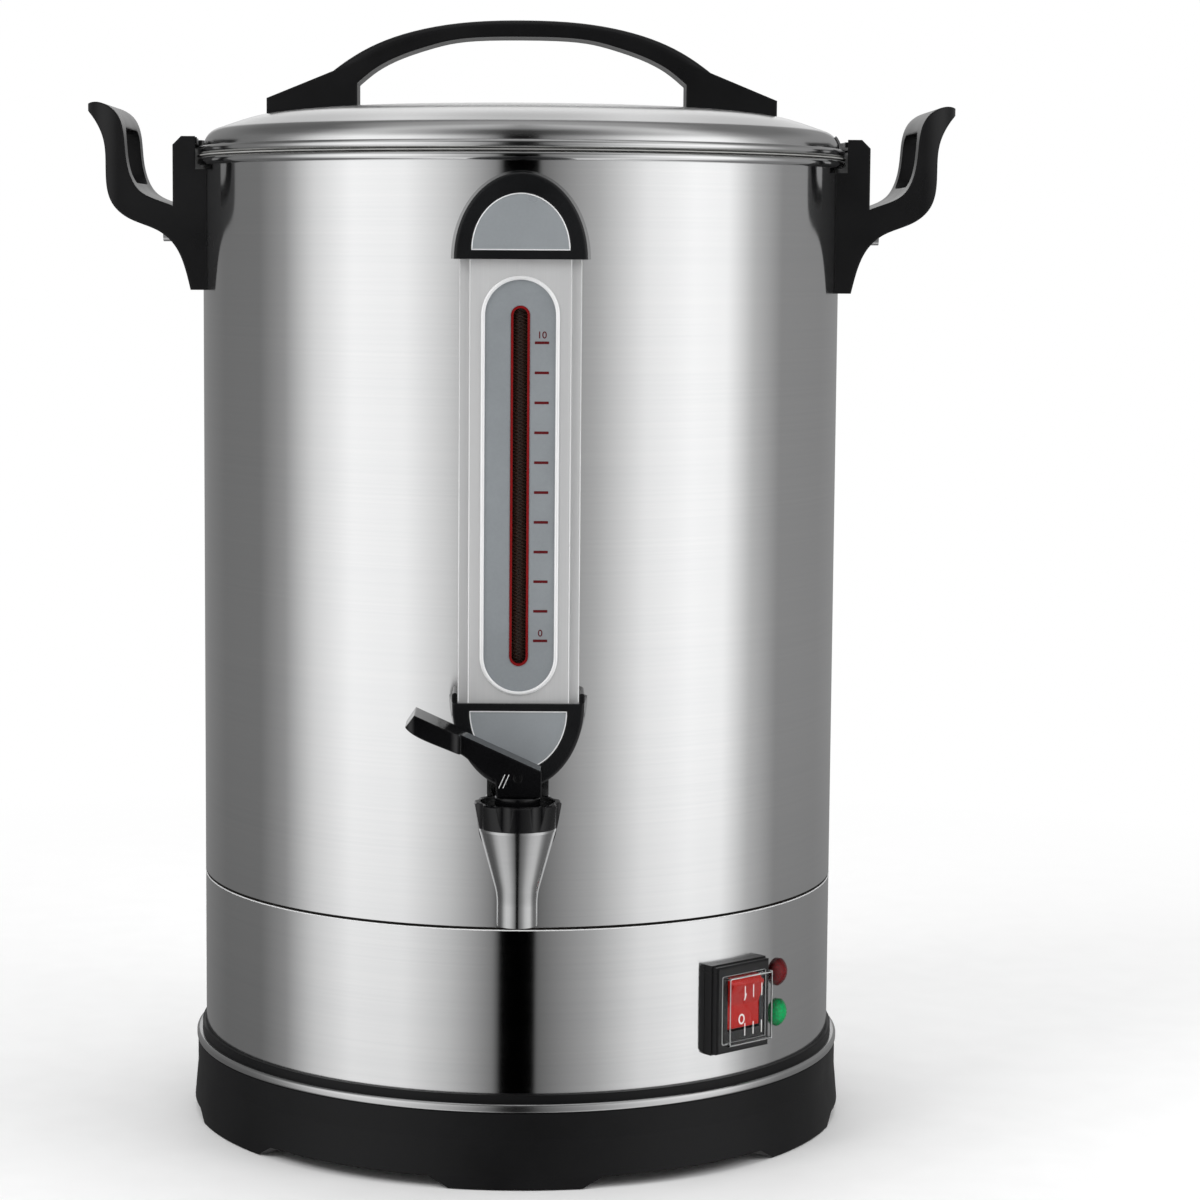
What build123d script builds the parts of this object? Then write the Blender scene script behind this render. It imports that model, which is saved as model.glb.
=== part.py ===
from build123d import *
import os
from math import asin, cos, degrees, hypot, pi, radians, sin, sqrt

os.makedirs("parts", exist_ok=True)

# Coffee urn, millimetres. Z is up and the floor is z = 0; the barrel's axis is the Z axis.
# The tap and the sight gauge face -Y, the mains inlet faces +Y, the side handles lie on the X axis.

# ---------------------------------------------------------------- fits
FIT = 0.05  # clearance of parts that are fixed to each other
RUN = 0.05  # radial clearance of a pin or shaft that turns
GAP = 0.3  # clearance between parts that move past each other

# ---------------------------------------------------------------- body
BARREL_R = 150.0
SHEET = 1.0
SEAM_Z = 116.0  # joint between the lower skirt and the barrel
SEAM_GAP = 1.0
RIM_Z = 453.2  # top of the barrel's rolled rim
RIM_BEAD_R = 2.0
TANK_FLOOR_Z = 125.0  # inside face of the tank's bottom
WELL_R = 34.0
WELL_DEPTH = 12.0

FOOT_H = 5.0
FOOT_COUNT = 6
FOOT_ROOT_ANGLE = 14.3  # half the angle that a foot spans where it meets the base
FOOT_TIP_ANGLE = 11.0  # and on the floor
BASE_STEP = 4.0  # how far the base stands out from the barrel
BASE_R = BARREL_R + BASE_STEP
BASE_FLARE = 1.5
BASE_FLARE_H = 17.0
BASE_WALL = 3.0
BASE_TOP_Z = 34.0
NECK_WALL = 1.8
NECK_TOP_Z = 41.5
LEDGE_W = 5.0
STAND_RING_INSET = 20.0
STAND_RING_R = BASE_R - STAND_RING_INSET
STAND_RING_W = 6.0
SHELF_W = 8.0
TRIM_H = 4.0
TRIM_W = 2.6
COVER_T = 1.2
COVER_SCREWS = 4
COVER_SCREW_R = 1.6
COVER_BOSS_R = 4.0
COVER_BOSS_H = 7.0
VENT_COUNT = 12
VENT_CIRCLE_R = 85.0
VENT_LENGTH = 28.0
VENT_WIDTH = 4.0

# ---------------------------------------------------------------- heating under the tank
BOIL_HEATER_R = 30.0
BOIL_HEATER_H = 8.0
WARM_HEATER_R = 66.0
WARM_HEATER_SECTION_R = 4.0
WARM_HEATER_ARC = 300.0
CLAMP_BAR_LENGTH = 110.0
CLAMP_BAR_W = 16.0
CLAMP_BAR_T = 2.5
STUD_R = 2.5
STUD_REACH = 46.0
NUT_H = 4.0
THERMOSTAT_R = 9.0
THERMOSTAT_H = 9.0
THERMOSTAT_REACH = 98.0
TERMINAL_BLOCK = (42.0, 18.0, 14.0)

# ---------------------------------------------------------------- lid
LID_CROWN_Z = RIM_Z + 24.4
LID_SHOULDER_R = 9.5
LID_CREST_R = BARREL_R - 29.0
LID_CREST_DROP = 4.3
LID_BEAD_R = 1.9
SEAL_T = 0.6
SEAL_LIP_H = 4.0
SEAL_LIP_W = 1.5
EAR_T = 1.0
EAR_REACH_R = BARREL_R + 7.5
EAR_START_ANGLE = 1.1  # from the handle's centre line
EAR_ARC = 6.6
LOCK_TURN = 8.5  # how far the lid turns to lock, degrees
LID_HANDLE_RISE = 40.2
LID_HANDLE_W = 28.0
LID_HANDLE_T = 7.8
LID_HANDLE_REACH = BARREL_R - 30.5
LID_POST_X = LID_HANDLE_REACH - 42.5  # inner face of the handle's posts
LID_TOE_TOP = 7.7
LID_SCREW_X = LID_HANDLE_REACH - 16.5
LID_SCREW_R = 2.0

# ---------------------------------------------------------------- side handles
HANDLE_W = 72.0
BLOCK_FACE_X = BARREL_R + 11.3
BLOCK_TOP_Z = RIM_Z + 9.2
BLOCK_BOTTOM_Z = RIM_Z - 61.6
BLOCK_CHAMFER = 4.0
HANDLE_TIP_ROUND = 15.0
HANDLE_UNDERSIDE = (  # from the tip to the block's foot: distance from the barrel, height above the rim
    (51.9, 21.1),
    (47.0, 15.4),
    (43.6, 8.1),
    (42.4, -5.2),
    (39.4, -21.8),
    (33.5, -27.7),
    (25.6, -31.3),
    (17.2, -34.9),
    (10.3, -41.4),
    (6.7, -48.7),
    (3.2, -61.6),
)
HANDLE_INSIDE = (  # from the tip to the block's outer face, measured the same way
    (51.9, 24.1),
    (42.3, 23.6),
    (37.0, 19.4),
    (34.1, 11.8),
    (33.2, 2.6),
    (31.0, -8.8),
    (26.9, -15.7),
    (19.5, -19.8),
    (11.3, -22.8),
)
GRIP_GAP_W = 52.0
GRIP_GAP_BOTTOM_Z = RIM_Z - 12.2
GRIP_GAP_TOP_Z = RIM_Z + 13.3
GRIP_GAP_ROUND = 6.0
RIM_CLEARANCE = 2.0
TONGUE_TIP_R = BARREL_R + 3.0
LOWER_BOLT_Z = RIM_Z - 36.2
LOWER_BOLT_R = 3.0
LOWER_BOLT_END = BARREL_R + 19.5
UPPER_SCREW_Z = RIM_Z - 12.2
UPPER_SCREW_R = 2.5
UPPER_SCREW_BITE = 8.0
BOLT_HEAD_H = 3.0
NUT_POCKET_W = 24.0
NUT_POCKET_H = 16.0
NUT_SEAT_X = BARREL_R + 8.0

# ---------------------------------------------------------------- sight gauge
GAUGE_FRONT_Y = BARREL_R + 22.0
COLUMN_W = 52.0
COLUMN_LIP_W = 4.3
COLUMN_LIP_SETBACK = 2.5
COLUMN_WALL = 2.4
CAP_TOP_Z = RIM_Z - 46.0  # straight edge of the upper cap
CAP_BOTTOM_Z = 218.5  # straight edge of the lower cap
CAP_HALF_W = 28.2
CAP_H = 36.2
LOWER_CAP_H = 37.0
CAP_FRONT = 2.7  # how far the caps stand in front of the column
CAP_WALL = 2.2
CAP_EDGE_R = 1.2
CAP_BORDER = 7.3
CAP_STRIP = 3.7  # between the straight edge and the inlay
LOWER_CAP_STRIP = 3.1
CAP_DRAFT = 3.8
INLAY_T = 0.9
INLAY_SUNK = 0.1
CHEEK_RISE = 3.8  # how far the lower cap's cheeks rise beside the column
CHEEK_T = 2.3
CHEEK_ROUND = 1.0
CHEEK_ROOT = 6.0
COLUMN_INSERT = 2.5
SCALE_W = 31.0
SCALE_MARGIN = 12.5  # column left over above and below the scale plate, together
SCALE_H = CAP_TOP_Z - CAP_BOTTOM_Z - SCALE_MARGIN
SCALE_MID_Z = (CAP_TOP_Z + CAP_BOTTOM_Z) / 2 - 1.8
SCALE_T = 0.8
SCALE_RECESS = 1.1
SCALE_GAP = 0.2
SLOT_W = 8.0
SLOT_H = SCALE_H - 23.0
SLOT_LINING = 1.0
SLOT_LINING_DEPTH = 3.6
TUBE_Y = BARREL_R + 13.0
TUBE_R = 4.5
TUBE_BORE_R = 3.0
TUBE_BOTTOM_Z = 196.0
TUBE_TOP_Z = CAP_TOP_Z - 5.2
TUBE_SEAL_R = 7.0
TUBE_SEAL_H = 8.0
TEE_HALF_W = 13.2
TEE_BASE_R = 16.8
TEE_BASE_MID_Z = 165.5
TEE_TOP_Z = 210.0
TEE_BACK_GAP = 2.0  # room for the gasket between the tee and the barrel
PORT_R = 2.5
HEAD_HALF_W = 9.0
HEAD_TOP_Z = CAP_TOP_Z + 24.8
GAUGE_SCREW_Z = CAP_TOP_Z + 16.8
GAUGE_SCREW_R = 2.5

# ---------------------------------------------------------------- tap
TAP_Y = BARREL_R + 45.0
TAP_OUTLET_Z = 127.2
SHANK_Z = 157.5
SHANK_R = 6.0
SHANK_BORE_R = 4.0
SHANK_INNER_Y = BARREL_R - 18.0
OUTLET_R = 8.6
OUTLET_BORE_R = 6.2
SEAT_Z = 145.0
NECK_END_Z = 136.5
FLARE_R = 28.0
FLARE_ANGLE = 15.3  # slope of the cone
CONE_R = 16.3
CONE_TOP_Z = 169.3
CHAMBER_R = 11.5
THREAD_R = 13.5
THREAD_H = 4.2
TAP_BOSS_R = 8.0
SHANK_NUT_R = 12.0
SHANK_NUT_H = 6.0
GASKET_R = 11.0
BONNET_TOP_Z = 180.1
BONNET_R = 18.6
BONNET_FOOT_R = 17.0
BONNET_LIP = 3.0
BONNET_WEB_T = 1.8
FLUTES = 8
FLUTE_START = -62.5
FLUTE_R = 5.0
FLUTE_DEPTH = 1.9
COLLAR_R = 9.6
COLLAR_TOP_Z = 182.5
COLLAR_FLANGE_R = 12.4
COLLAR_FLANGE_T = 2.2
STEM_R = 3.5
STEM_ABOVE_PIN = 4.0
STEM_FOOT_R = 5.0
STEM_FOOT_T = 2.0
CUP_R = 8.3
CUP_H = 7.0
SPRING_R = 6.4
SPRING_WIRE_R = 0.6
SPRING_TURNS = 4
PIN_Z = 191.0
PIN_R = 1.5
LEVER_W = 14.6
LEVER_SLOT_W = 7.6
LEVER_SLOT_H = 10.0
LEVER_TOP_AND_HEEL = (  # outline of the lever from the thumb end over the top, from the pin
    (-43.3, 27.1),
    (9.6, 3.0),
    (10.9, 1.6),
    (11.2, -8.2),
    (-8.8, -8.2),
    (-9.5, -0.8),
)
LEVER_UNDERSIDE = (
    (-9.5, -0.8),
    (-16.7, 3.8),
    (-22.0, 8.8),
    (-28.3, 12.2),
    (-47.2, 21.6),
)
PADDLE_W = 25.0
PADDLE_LENGTH = 23.0

# ---------------------------------------------------------------- switch and lamps
SWITCH_ANGLE = 40.5  # from the front towards +X
SWITCH_Z = 74.0
BEZEL_W = 32.5
BEZEL_H = 39.5
BEZEL_FRONT = 6.8  # front face of the bezel above the skirt
BEZEL_FLANGE = 0.6
BEZEL_FLANGE_T = 3.4
SPLASH_W = 27.0
SPLASH_H = 31.0
SPLASH_PROUD = 5.4
SPLASH_WALL = 1.0
ROCKER_W = 19.0
ROCKER_H = 24.0
ROCKER_TILT = 9.0
ROCKER_RISE = 2.2  # rocker's pivot above the middle of the bezel
ROCKER_PIVOT_DEPTH = 4.6  # below the bezel's front face
ROCKER_T = 4.4  # pivot to the middle of the rocker's front
ROCKER_FOOT = 2.2  # and to its back
BODY_FRONT = -2.6
SWITCH_BODY_W = 26.0
SWITCH_BODY_H = 31.0
SWITCH_BODY_DEPTH = 22.0
BLADE_COUNT = 4
LAMP_ANGLE = 52.4
LAMP_PITCH = 18.8
LAMP_MID_Z = 74.5
LAMP_R = 6.3
LAMP_STEM_R = 4.0
LAMP_STEM = 9.0
LAMP_DOME = 4.2
LAMP_RIM = 1.0

# ---------------------------------------------------------------- mains inlet
INLET_Z = 66.0
INLET_BODY_W = 27.0
INLET_BODY_H = 20.0
INLET_BODY_DEPTH = 16.0
INLET_FLANGE_W = 50.0
INLET_FLANGE_H = 24.0
INLET_PROUD = 3.0
INLET_SOCKET_W = 22.0
INLET_SOCKET_H = 15.2
INLET_SOCKET_DEPTH = 14.0
INLET_SCREW_X = 20.0
INLET_SCREW_R = 1.6
CONTACT_PITCH = 7.0
CONTACT_W = 2.0
CONTACT_H = 4.0
CONTACT_LENGTH = 20.0

# ---------------------------------------------------------------- percolator
PUMP_R = 6.0
PUMP_WALL = 1.0
PUMP_TOP_Z = RIM_Z - 15.2
PUMP_FOOT_R = 29.0
PUMP_FOOT_H = 11.0
BASKET_R = 88.0
BASKET_H = 72.0
BASKET_FLOOR_Z = RIM_Z - 101.2
BASKET_RIM_W = 4.0
BASKET_LID_T = 1.0
BASKET_RING_RADII = (26.0, 44.0, 62.0)
BASKET_HOLE_PITCH = 20.5
BASKET_HOLE_R = 2.2
STOP_COLLAR_R = 9.0
STOP_COLLAR_H = 6.0

# ---------------------------------------------------------------- values that follow from them
TANK_R = BARREL_R - SHEET
HANDLE_REACH = BARREL_R + HANDLE_UNDERSIDE[0][0] + 0.1
HANDLE_TOP_Z = RIM_Z + HANDLE_INSIDE[0][1]
WELL_FLOOR_Z = TANK_FLOOR_Z - WELL_DEPTH
UNDER_TANK_Z = TANK_FLOOR_Z - SHEET
RIM_MID_Z = RIM_Z - RIM_BEAD_R
LID_R = BARREL_R - 0.2
LID_BEAD_MID_Z = RIM_Z + GAP + SEAL_T + GAP + LID_BEAD_R
LID_CORNER_Z = LID_BEAD_MID_Z + 1.3
EAR_Z = LID_BEAD_MID_Z + LID_BEAD_R + 0.1
TONGUE_Z = EAR_Z + EAR_T + GAP
SWITCH_PLANE = Plane(
    origin=(BARREL_R * sin(radians(SWITCH_ANGLE)), -BARREL_R * cos(radians(SWITCH_ANGLE)), SWITCH_Z),
    x_dir=(cos(radians(SWITCH_ANGLE)), sin(radians(SWITCH_ANGLE)), 0),
    z_dir=(sin(radians(SWITCH_ANGLE)), -cos(radians(SWITCH_ANGLE)), 0),
)
LAMP_PLANE = Plane(
    origin=(BARREL_R * sin(radians(LAMP_ANGLE)), -BARREL_R * cos(radians(LAMP_ANGLE)), LAMP_MID_Z),
    x_dir=(cos(radians(LAMP_ANGLE)), sin(radians(LAMP_ANGLE)), 0),
    z_dir=(sin(radians(LAMP_ANGLE)), -cos(radians(LAMP_ANGLE)), 0),
)
INLET_PLANE = Plane(origin=(0, BARREL_R, INLET_Z), x_dir=(-1, 0, 0), z_dir=(0, 1, 0))


def section(points):
    """Closed outline in the radial plane, from (radius, height) points."""
    with BuildSketch(Plane.XZ) as outline:
        with BuildLine():
            Polyline(*points, close=True)
        make_face()
    return outline.sketch


def sector(inner_r, outer_r, start, arc, height):
    """Part of a flat ring about the Z axis, at a height; angles in degrees from +X."""
    with BuildSketch(Plane.XY.offset(height)) as ring:
        with BuildLine():
            outer = CenterArc((0, 0), outer_r, start, arc)
            inner = CenterArc((0, 0), inner_r, start, arc)
            Line(inner @ 0, outer @ 0)
            Line(inner @ 1, outer @ 1)
        make_face()
    return ring.sketch


def half_ellipse(half_width, height, base_z, upwards, depth_y):
    """Arched face in a plane that faces -Y, with its straight edge at base_z."""
    start = 0 if upwards else 180
    with BuildSketch(Plane.XZ.offset(depth_y)) as arch:
        with BuildLine():
            bow = EllipticalCenterArc((0, base_z), half_width, height, start_angle=start, arc_size=180)
            Line(bow @ 0, bow @ 1)
        make_face()
    return arch.sketch


def hex_nut(plane, across_corners_r, height, bore_r):
    """Six-sided nut that stands on a plane."""
    with BuildPart(plane) as nut:
        with BuildSketch(plane):
            RegularPolygon(across_corners_r, 6)
            Circle(bore_r, mode=Mode.SUBTRACT)
        extrude(amount=height)
    return nut.part


def cut_barrel(clearance):
    """Takes the barrel's cylinder, grown by a clearance, out of the part being built."""
    Cylinder(BARREL_R + clearance, 2 * (RIM_Z + 50), mode=Mode.SUBTRACT)


# ================================================================ base
with BuildPart() as foot:
    for foot_z, half_angle in ((0, FOOT_TIP_ANGLE), (FOOT_H, FOOT_ROOT_ANGLE)):
        add(sector(STAND_RING_R - 1, BASE_R + BASE_FLARE, -90 - half_angle, 2 * half_angle, foot_z))
    loft()

FLOOR_Z = FOOT_H + BASE_WALL
SHELF_R = STAND_RING_R - STAND_RING_W - SHELF_W
COVER_SEAT_Z = FOOT_H + COVER_T - 0.2
SCREW_CIRCLE_R = STAND_RING_R - STAND_RING_W - SHELF_W / 2

with BuildPart() as base_moulding:
    outer_r = BASE_R + BASE_FLARE
    ledge_z = BASE_TOP_Z + 2
    add(
        section(
            [
                (outer_r, FOOT_H),
                (BASE_R, FOOT_H + BASE_FLARE_H),
                (BASE_R, BASE_TOP_Z),
                (BARREL_R + FIT + NECK_WALL, BASE_TOP_Z),
                (BARREL_R + FIT + NECK_WALL, NECK_TOP_Z),
                (BARREL_R + FIT, NECK_TOP_Z),
                (BARREL_R + FIT, ledge_z),
                (BARREL_R - LEDGE_W, ledge_z),
                (BARREL_R - LEDGE_W, ledge_z - BASE_WALL),
                (BASE_R - BASE_WALL, ledge_z - BASE_WALL),
                (BASE_R - BASE_WALL, FLOOR_Z),
                (SHELF_R, FLOOR_Z),
                (SHELF_R, COVER_SEAT_Z),
                (STAND_RING_R - STAND_RING_W, COVER_SEAT_Z),
                (STAND_RING_R - STAND_RING_W, 0),
                (STAND_RING_R, 0),
                (STAND_RING_R, FOOT_H),
            ]
        )
    )
    revolve(axis=Axis.Z)
    with BuildSketch(Plane.XY.offset(FLOOR_Z)):
        with PolarLocations(SCREW_CIRCLE_R, COVER_SCREWS):
            Circle(COVER_BOSS_R)
    extrude(amount=COVER_BOSS_H)
    with BuildSketch(Plane.XY.offset(COVER_SEAT_Z)):
        with PolarLocations(SCREW_CIRCLE_R, COVER_SCREWS):
            Circle(COVER_SCREW_R + FIT)
    extrude(amount=FLOOR_Z - COVER_SEAT_Z + COVER_BOSS_H - 1.5, mode=Mode.SUBTRACT)
    with PolarLocations(0, FOOT_COUNT):
        add(foot.part)

with BuildPart() as bottom_cover:
    with BuildSketch(Plane.XY.offset(COVER_SEAT_Z - COVER_T)):
        Circle(STAND_RING_R - STAND_RING_W - GAP)
        with PolarLocations(SCREW_CIRCLE_R, COVER_SCREWS):
            Circle(COVER_SCREW_R + FIT, mode=Mode.SUBTRACT)
        with PolarLocations(VENT_CIRCLE_R, VENT_COUNT):
            SlotOverall(VENT_LENGTH, VENT_WIDTH, mode=Mode.SUBTRACT)
    extrude(amount=COVER_T)

with BuildPart() as cover_screws:
    with BuildSketch(Plane.XY.offset(COVER_SEAT_Z - COVER_T)):
        with PolarLocations(SCREW_CIRCLE_R, COVER_SCREWS):
            Circle(2 * COVER_SCREW_R)
    extrude(amount=-1.8)
    with BuildSketch(Plane.XY.offset(COVER_SEAT_Z - COVER_T)):
        with PolarLocations(SCREW_CIRCLE_R, COVER_SCREWS):
            Circle(COVER_SCREW_R)
    extrude(amount=COVER_T + COVER_BOSS_H)

with BuildPart() as trim_ring:
    with BuildSketch(Plane.XZ):
        with Locations((BARREL_R + 2 * FIT + NECK_WALL + TRIM_W / 2, BASE_TOP_Z + TRIM_H / 2)):
            Rectangle(TRIM_W, TRIM_H)
        outer_corners = vertices().group_by(Axis.X)[-1]
        fillet(outer_corners, TRIM_W / 2)
    revolve(axis=Axis.Z)

# ================================================================ lower skirt and tank
INLET_HALF_W = INLET_BODY_W / 2 + FIT
with BuildPart() as lower_skirt:
    lip_r = TANK_R - FIT
    add(
        section(
            [
                (BARREL_R, BASE_TOP_Z + 2),
                (BARREL_R, SEAM_Z - SEAM_GAP),
                (lip_r, SEAM_Z - SEAM_GAP),
                (lip_r, UNDER_TANK_Z),
                (lip_r - SHEET, UNDER_TANK_Z),
                (lip_r - SHEET, SEAM_Z - SEAM_GAP - SHEET),
                (TANK_R, SEAM_Z - SEAM_GAP - SHEET),
                (TANK_R, BASE_TOP_Z + 2),
            ]
        )
    )
    revolve(axis=Axis.Z)
    with BuildSketch(SWITCH_PLANE.offset(5)):
        Rectangle(SWITCH_BODY_W + 2 * FIT, SWITCH_BODY_H + 2 * FIT)
    extrude(amount=-15, mode=Mode.SUBTRACT)
    with BuildSketch(LAMP_PLANE.offset(5)):
        with GridLocations(0, LAMP_PITCH, 1, 2):
            Circle(LAMP_STEM_R + FIT)
    extrude(amount=-15, mode=Mode.SUBTRACT)
    with BuildSketch(INLET_PLANE.offset(5)):
        Rectangle(2 * INLET_HALF_W, INLET_BODY_H + 2 * FIT)
        with GridLocations(2 * INLET_SCREW_X, 0, 2, 1):
            Circle(INLET_SCREW_R + FIT)
    extrude(amount=-15, mode=Mode.SUBTRACT)

with BuildPart() as tank:
    add(
        section(
            [
                (BARREL_R, SEAM_Z),
                (BARREL_R, RIM_MID_Z),
                (TANK_R, RIM_MID_Z),
                (TANK_R, TANK_FLOOR_Z),
                (WELL_R, TANK_FLOOR_Z),
                (WELL_R, WELL_FLOOR_Z),
                (0, WELL_FLOOR_Z),
                (0, WELL_FLOOR_Z - SHEET),
                (WELL_R + SHEET, WELL_FLOOR_Z - SHEET),
                (WELL_R + SHEET, UNDER_TANK_Z),
                (TANK_R, UNDER_TANK_Z),
                (TANK_R, SEAM_Z),
            ]
        )
    )
    with BuildSketch(Plane.XZ):
        with Locations((TANK_R + RIM_BEAD_R, RIM_MID_Z)):
            Circle(RIM_BEAD_R)
    revolve(axis=Axis.Z)
    with BuildSketch(Plane.YZ):
        with Locations((0, LOWER_BOLT_Z)):
            Circle(LOWER_BOLT_R + FIT)
        with Locations((0, UPPER_SCREW_Z)):
            Circle(UPPER_SCREW_R + FIT)
    extrude(amount=BARREL_R + 10, both=True, mode=Mode.SUBTRACT)
    with BuildSketch(Plane.XZ):
        with Locations((0, SHANK_Z)):
            Circle(SHANK_R + FIT)
        with Locations((0, GAUGE_SCREW_Z)):
            Circle(GAUGE_SCREW_R + FIT)
    extrude(amount=BARREL_R + 10, mode=Mode.SUBTRACT)

# ================================================================ heating
HEATER_TOP_Z = WELL_FLOOR_Z - SHEET
with BuildPart() as boil_heater:
    with BuildSketch(Plane.XY.offset(HEATER_TOP_Z)):
        Circle(BOIL_HEATER_R)
    extrude(amount=-BOIL_HEATER_H)
    rim_edges = edges().filter_by(GeomType.CIRCLE).group_by(Axis.Z)[0]
    chamfer(rim_edges, 1.5)
    with BuildSketch(Plane.XY.offset(HEATER_TOP_Z - BOIL_HEATER_H)):
        with GridLocations(0, BOIL_HEATER_R, 1, 2):
            Rectangle(6.3, 0.8)
    extrude(amount=-8)

with BuildPart() as warm_heater:
    with BuildSketch(Plane.XZ):
        with Locations((WARM_HEATER_R, UNDER_TANK_Z - WARM_HEATER_SECTION_R)):
            RegularPolygon(WARM_HEATER_SECTION_R, 8, major_radius=False, rotation=22.5)
    revolve(axis=Axis.Z, revolution_arc=WARM_HEATER_ARC)

BAR_TOP_Z = HEATER_TOP_Z - BOIL_HEATER_H
with BuildPart() as clamp_bar:
    with BuildSketch(Plane.XY.offset(BAR_TOP_Z)):
        SlotOverall(CLAMP_BAR_LENGTH, CLAMP_BAR_W)
        with GridLocations(2 * STUD_REACH, 0, 2, 1):
            Circle(STUD_R + FIT, mode=Mode.SUBTRACT)
    extrude(amount=-CLAMP_BAR_T)

with BuildPart() as clamp_studs:
    with BuildSketch(Plane.XY.offset(UNDER_TANK_Z)):
        with GridLocations(2 * STUD_REACH, 0, 2, 1):
            Circle(STUD_R)
    extrude(amount=BAR_TOP_Z - CLAMP_BAR_T - NUT_H - 3 - UNDER_TANK_Z)

with BuildPart() as clamp_nuts:
    for side in (-1, 1):
        seat = Plane(origin=(side * STUD_REACH, 0, BAR_TOP_Z - CLAMP_BAR_T - NUT_H))
        add(hex_nut(seat, 2 * STUD_R - 0.4, NUT_H, STUD_R + FIT))

with BuildPart() as thermostat:
    with BuildSketch(Plane.XY.offset(UNDER_TANK_Z)):
        with Locations((0, THERMOSTAT_REACH)):
            SlotOverall(3.2 * THERMOSTAT_R, 1.2 * THERMOSTAT_R)
    extrude(amount=-1)
    with BuildSketch(Plane.XY.offset(UNDER_TANK_Z)):
        with Locations((0, THERMOSTAT_REACH)):
            Circle(THERMOSTAT_R)
    extrude(amount=-THERMOSTAT_H)
    with BuildSketch(Plane.XY.offset(UNDER_TANK_Z - THERMOSTAT_H)):
        with Locations((0, THERMOSTAT_REACH)):
            with GridLocations(THERMOSTAT_R, 0, 2, 1):
                Rectangle(0.8, 6.3)
    extrude(amount=-8)

with BuildPart() as thermal_cutout:
    with BuildSketch(Plane.XY.offset(UNDER_TANK_Z)):
        with Locations((-THERMOSTAT_REACH, 0)):
            Circle(THERMOSTAT_R - 1)
    extrude(amount=-THERMOSTAT_H)
    with BuildSketch(Plane.XY.offset(UNDER_TANK_Z - THERMOSTAT_H)):
        with Locations((-THERMOSTAT_REACH, 0)):
            Circle(THERMOSTAT_R / 3)
    extrude(amount=-3)
    with BuildSketch(Plane.XY.offset(UNDER_TANK_Z - THERMOSTAT_H)):
        with Locations((-THERMOSTAT_REACH, 0)):
            with GridLocations(0, 1.4 * THERMOSTAT_R, 1, 2):
                Rectangle(6.3, 0.8)
    extrude(amount=-8)

with BuildPart() as terminal_block:
    block_length, block_depth, block_height = TERMINAL_BLOCK
    with BuildSketch(Plane.XY.offset(COVER_SEAT_Z)):
        with Locations((0, SHELF_R / 4)):
            Rectangle(block_length, block_depth)
    extrude(amount=block_height)
    with BuildSketch(Plane.XY.offset(COVER_SEAT_Z + block_height)):
        with Locations((0, SHELF_R / 4)):
            with GridLocations(block_length / 4, block_depth / 2, 4, 2):
                Circle(2.2)
    extrude(amount=-5, mode=Mode.SUBTRACT)

# ================================================================ lid
CORNER_MID_R = LID_R - LID_SHOULDER_R
CREST_SLOPE = 18.5
CORNER_START = (
    CORNER_MID_R + LID_SHOULDER_R * sin(radians(CREST_SLOPE)),
    LID_CORNER_Z + LID_SHOULDER_R * cos(radians(CREST_SLOPE)),
)
INNER_START = (
    CORNER_MID_R + (LID_SHOULDER_R - SHEET) * sin(radians(CREST_SLOPE)),
    LID_CORNER_Z + (LID_SHOULDER_R - SHEET) * cos(radians(CREST_SLOPE)),
)
CREST_TANGENTS = ((1, 0), (cos(radians(CREST_SLOPE)), -sin(radians(CREST_SLOPE))))


def lid_crown(drop, corner):
    """Curve of the lid's crown in the radial plane, from the axis to the shoulder."""
    return Spline(
        (0, LID_CROWN_Z - drop),
        (0.58 * LID_CREST_R, LID_CROWN_Z - 0.18 * LID_CREST_DROP - drop),
        (LID_CREST_R, LID_CROWN_Z - LID_CREST_DROP - drop),
        corner,
        tangents=CREST_TANGENTS,
    )


with BuildPart() as lid:
    with BuildSketch(Plane.XZ):
        with BuildLine():
            lid_crown(0, CORNER_START)
            CenterArc((CORNER_MID_R, LID_CORNER_Z), LID_SHOULDER_R, 0, 90 - CREST_SLOPE)
            Line((LID_R, LID_CORNER_Z), (LID_R, LID_BEAD_MID_Z))
            Line((LID_R, LID_BEAD_MID_Z), (LID_R - SHEET, LID_BEAD_MID_Z))
            Line((LID_R - SHEET, LID_BEAD_MID_Z), (LID_R - SHEET, LID_CORNER_Z))
            CenterArc((CORNER_MID_R, LID_CORNER_Z), LID_SHOULDER_R - SHEET, 0, 90 - CREST_SLOPE)
            lid_crown(SHEET, INNER_START)
            Line((0, LID_CROWN_Z), (0, LID_CROWN_Z - SHEET))
        make_face()
        with Locations((LID_R - SHEET + LID_BEAD_R, LID_BEAD_MID_Z)):
            Circle(LID_BEAD_R)
    revolve(axis=Axis.Z)
    with BuildSketch(Plane.XY.offset(LID_CORNER_Z)):
        with GridLocations(2 * LID_SCREW_X, 0, 2, 1):
            Circle(LID_SCREW_R + FIT)
    extrude(amount=LID_CROWN_Z, mode=Mode.SUBTRACT)

with BuildPart() as lid_envelope:
    with BuildSketch(Plane.XZ):
        with BuildLine():
            lid_crown(0, CORNER_START)
            CenterArc((CORNER_MID_R, LID_CORNER_Z), LID_SHOULDER_R, 0, 90 - CREST_SLOPE)
            Polyline((LID_R, LID_CORNER_Z), (0, LID_CORNER_Z), (0, LID_CROWN_Z))
        make_face()
    revolve(axis=Axis.Z)

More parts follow.
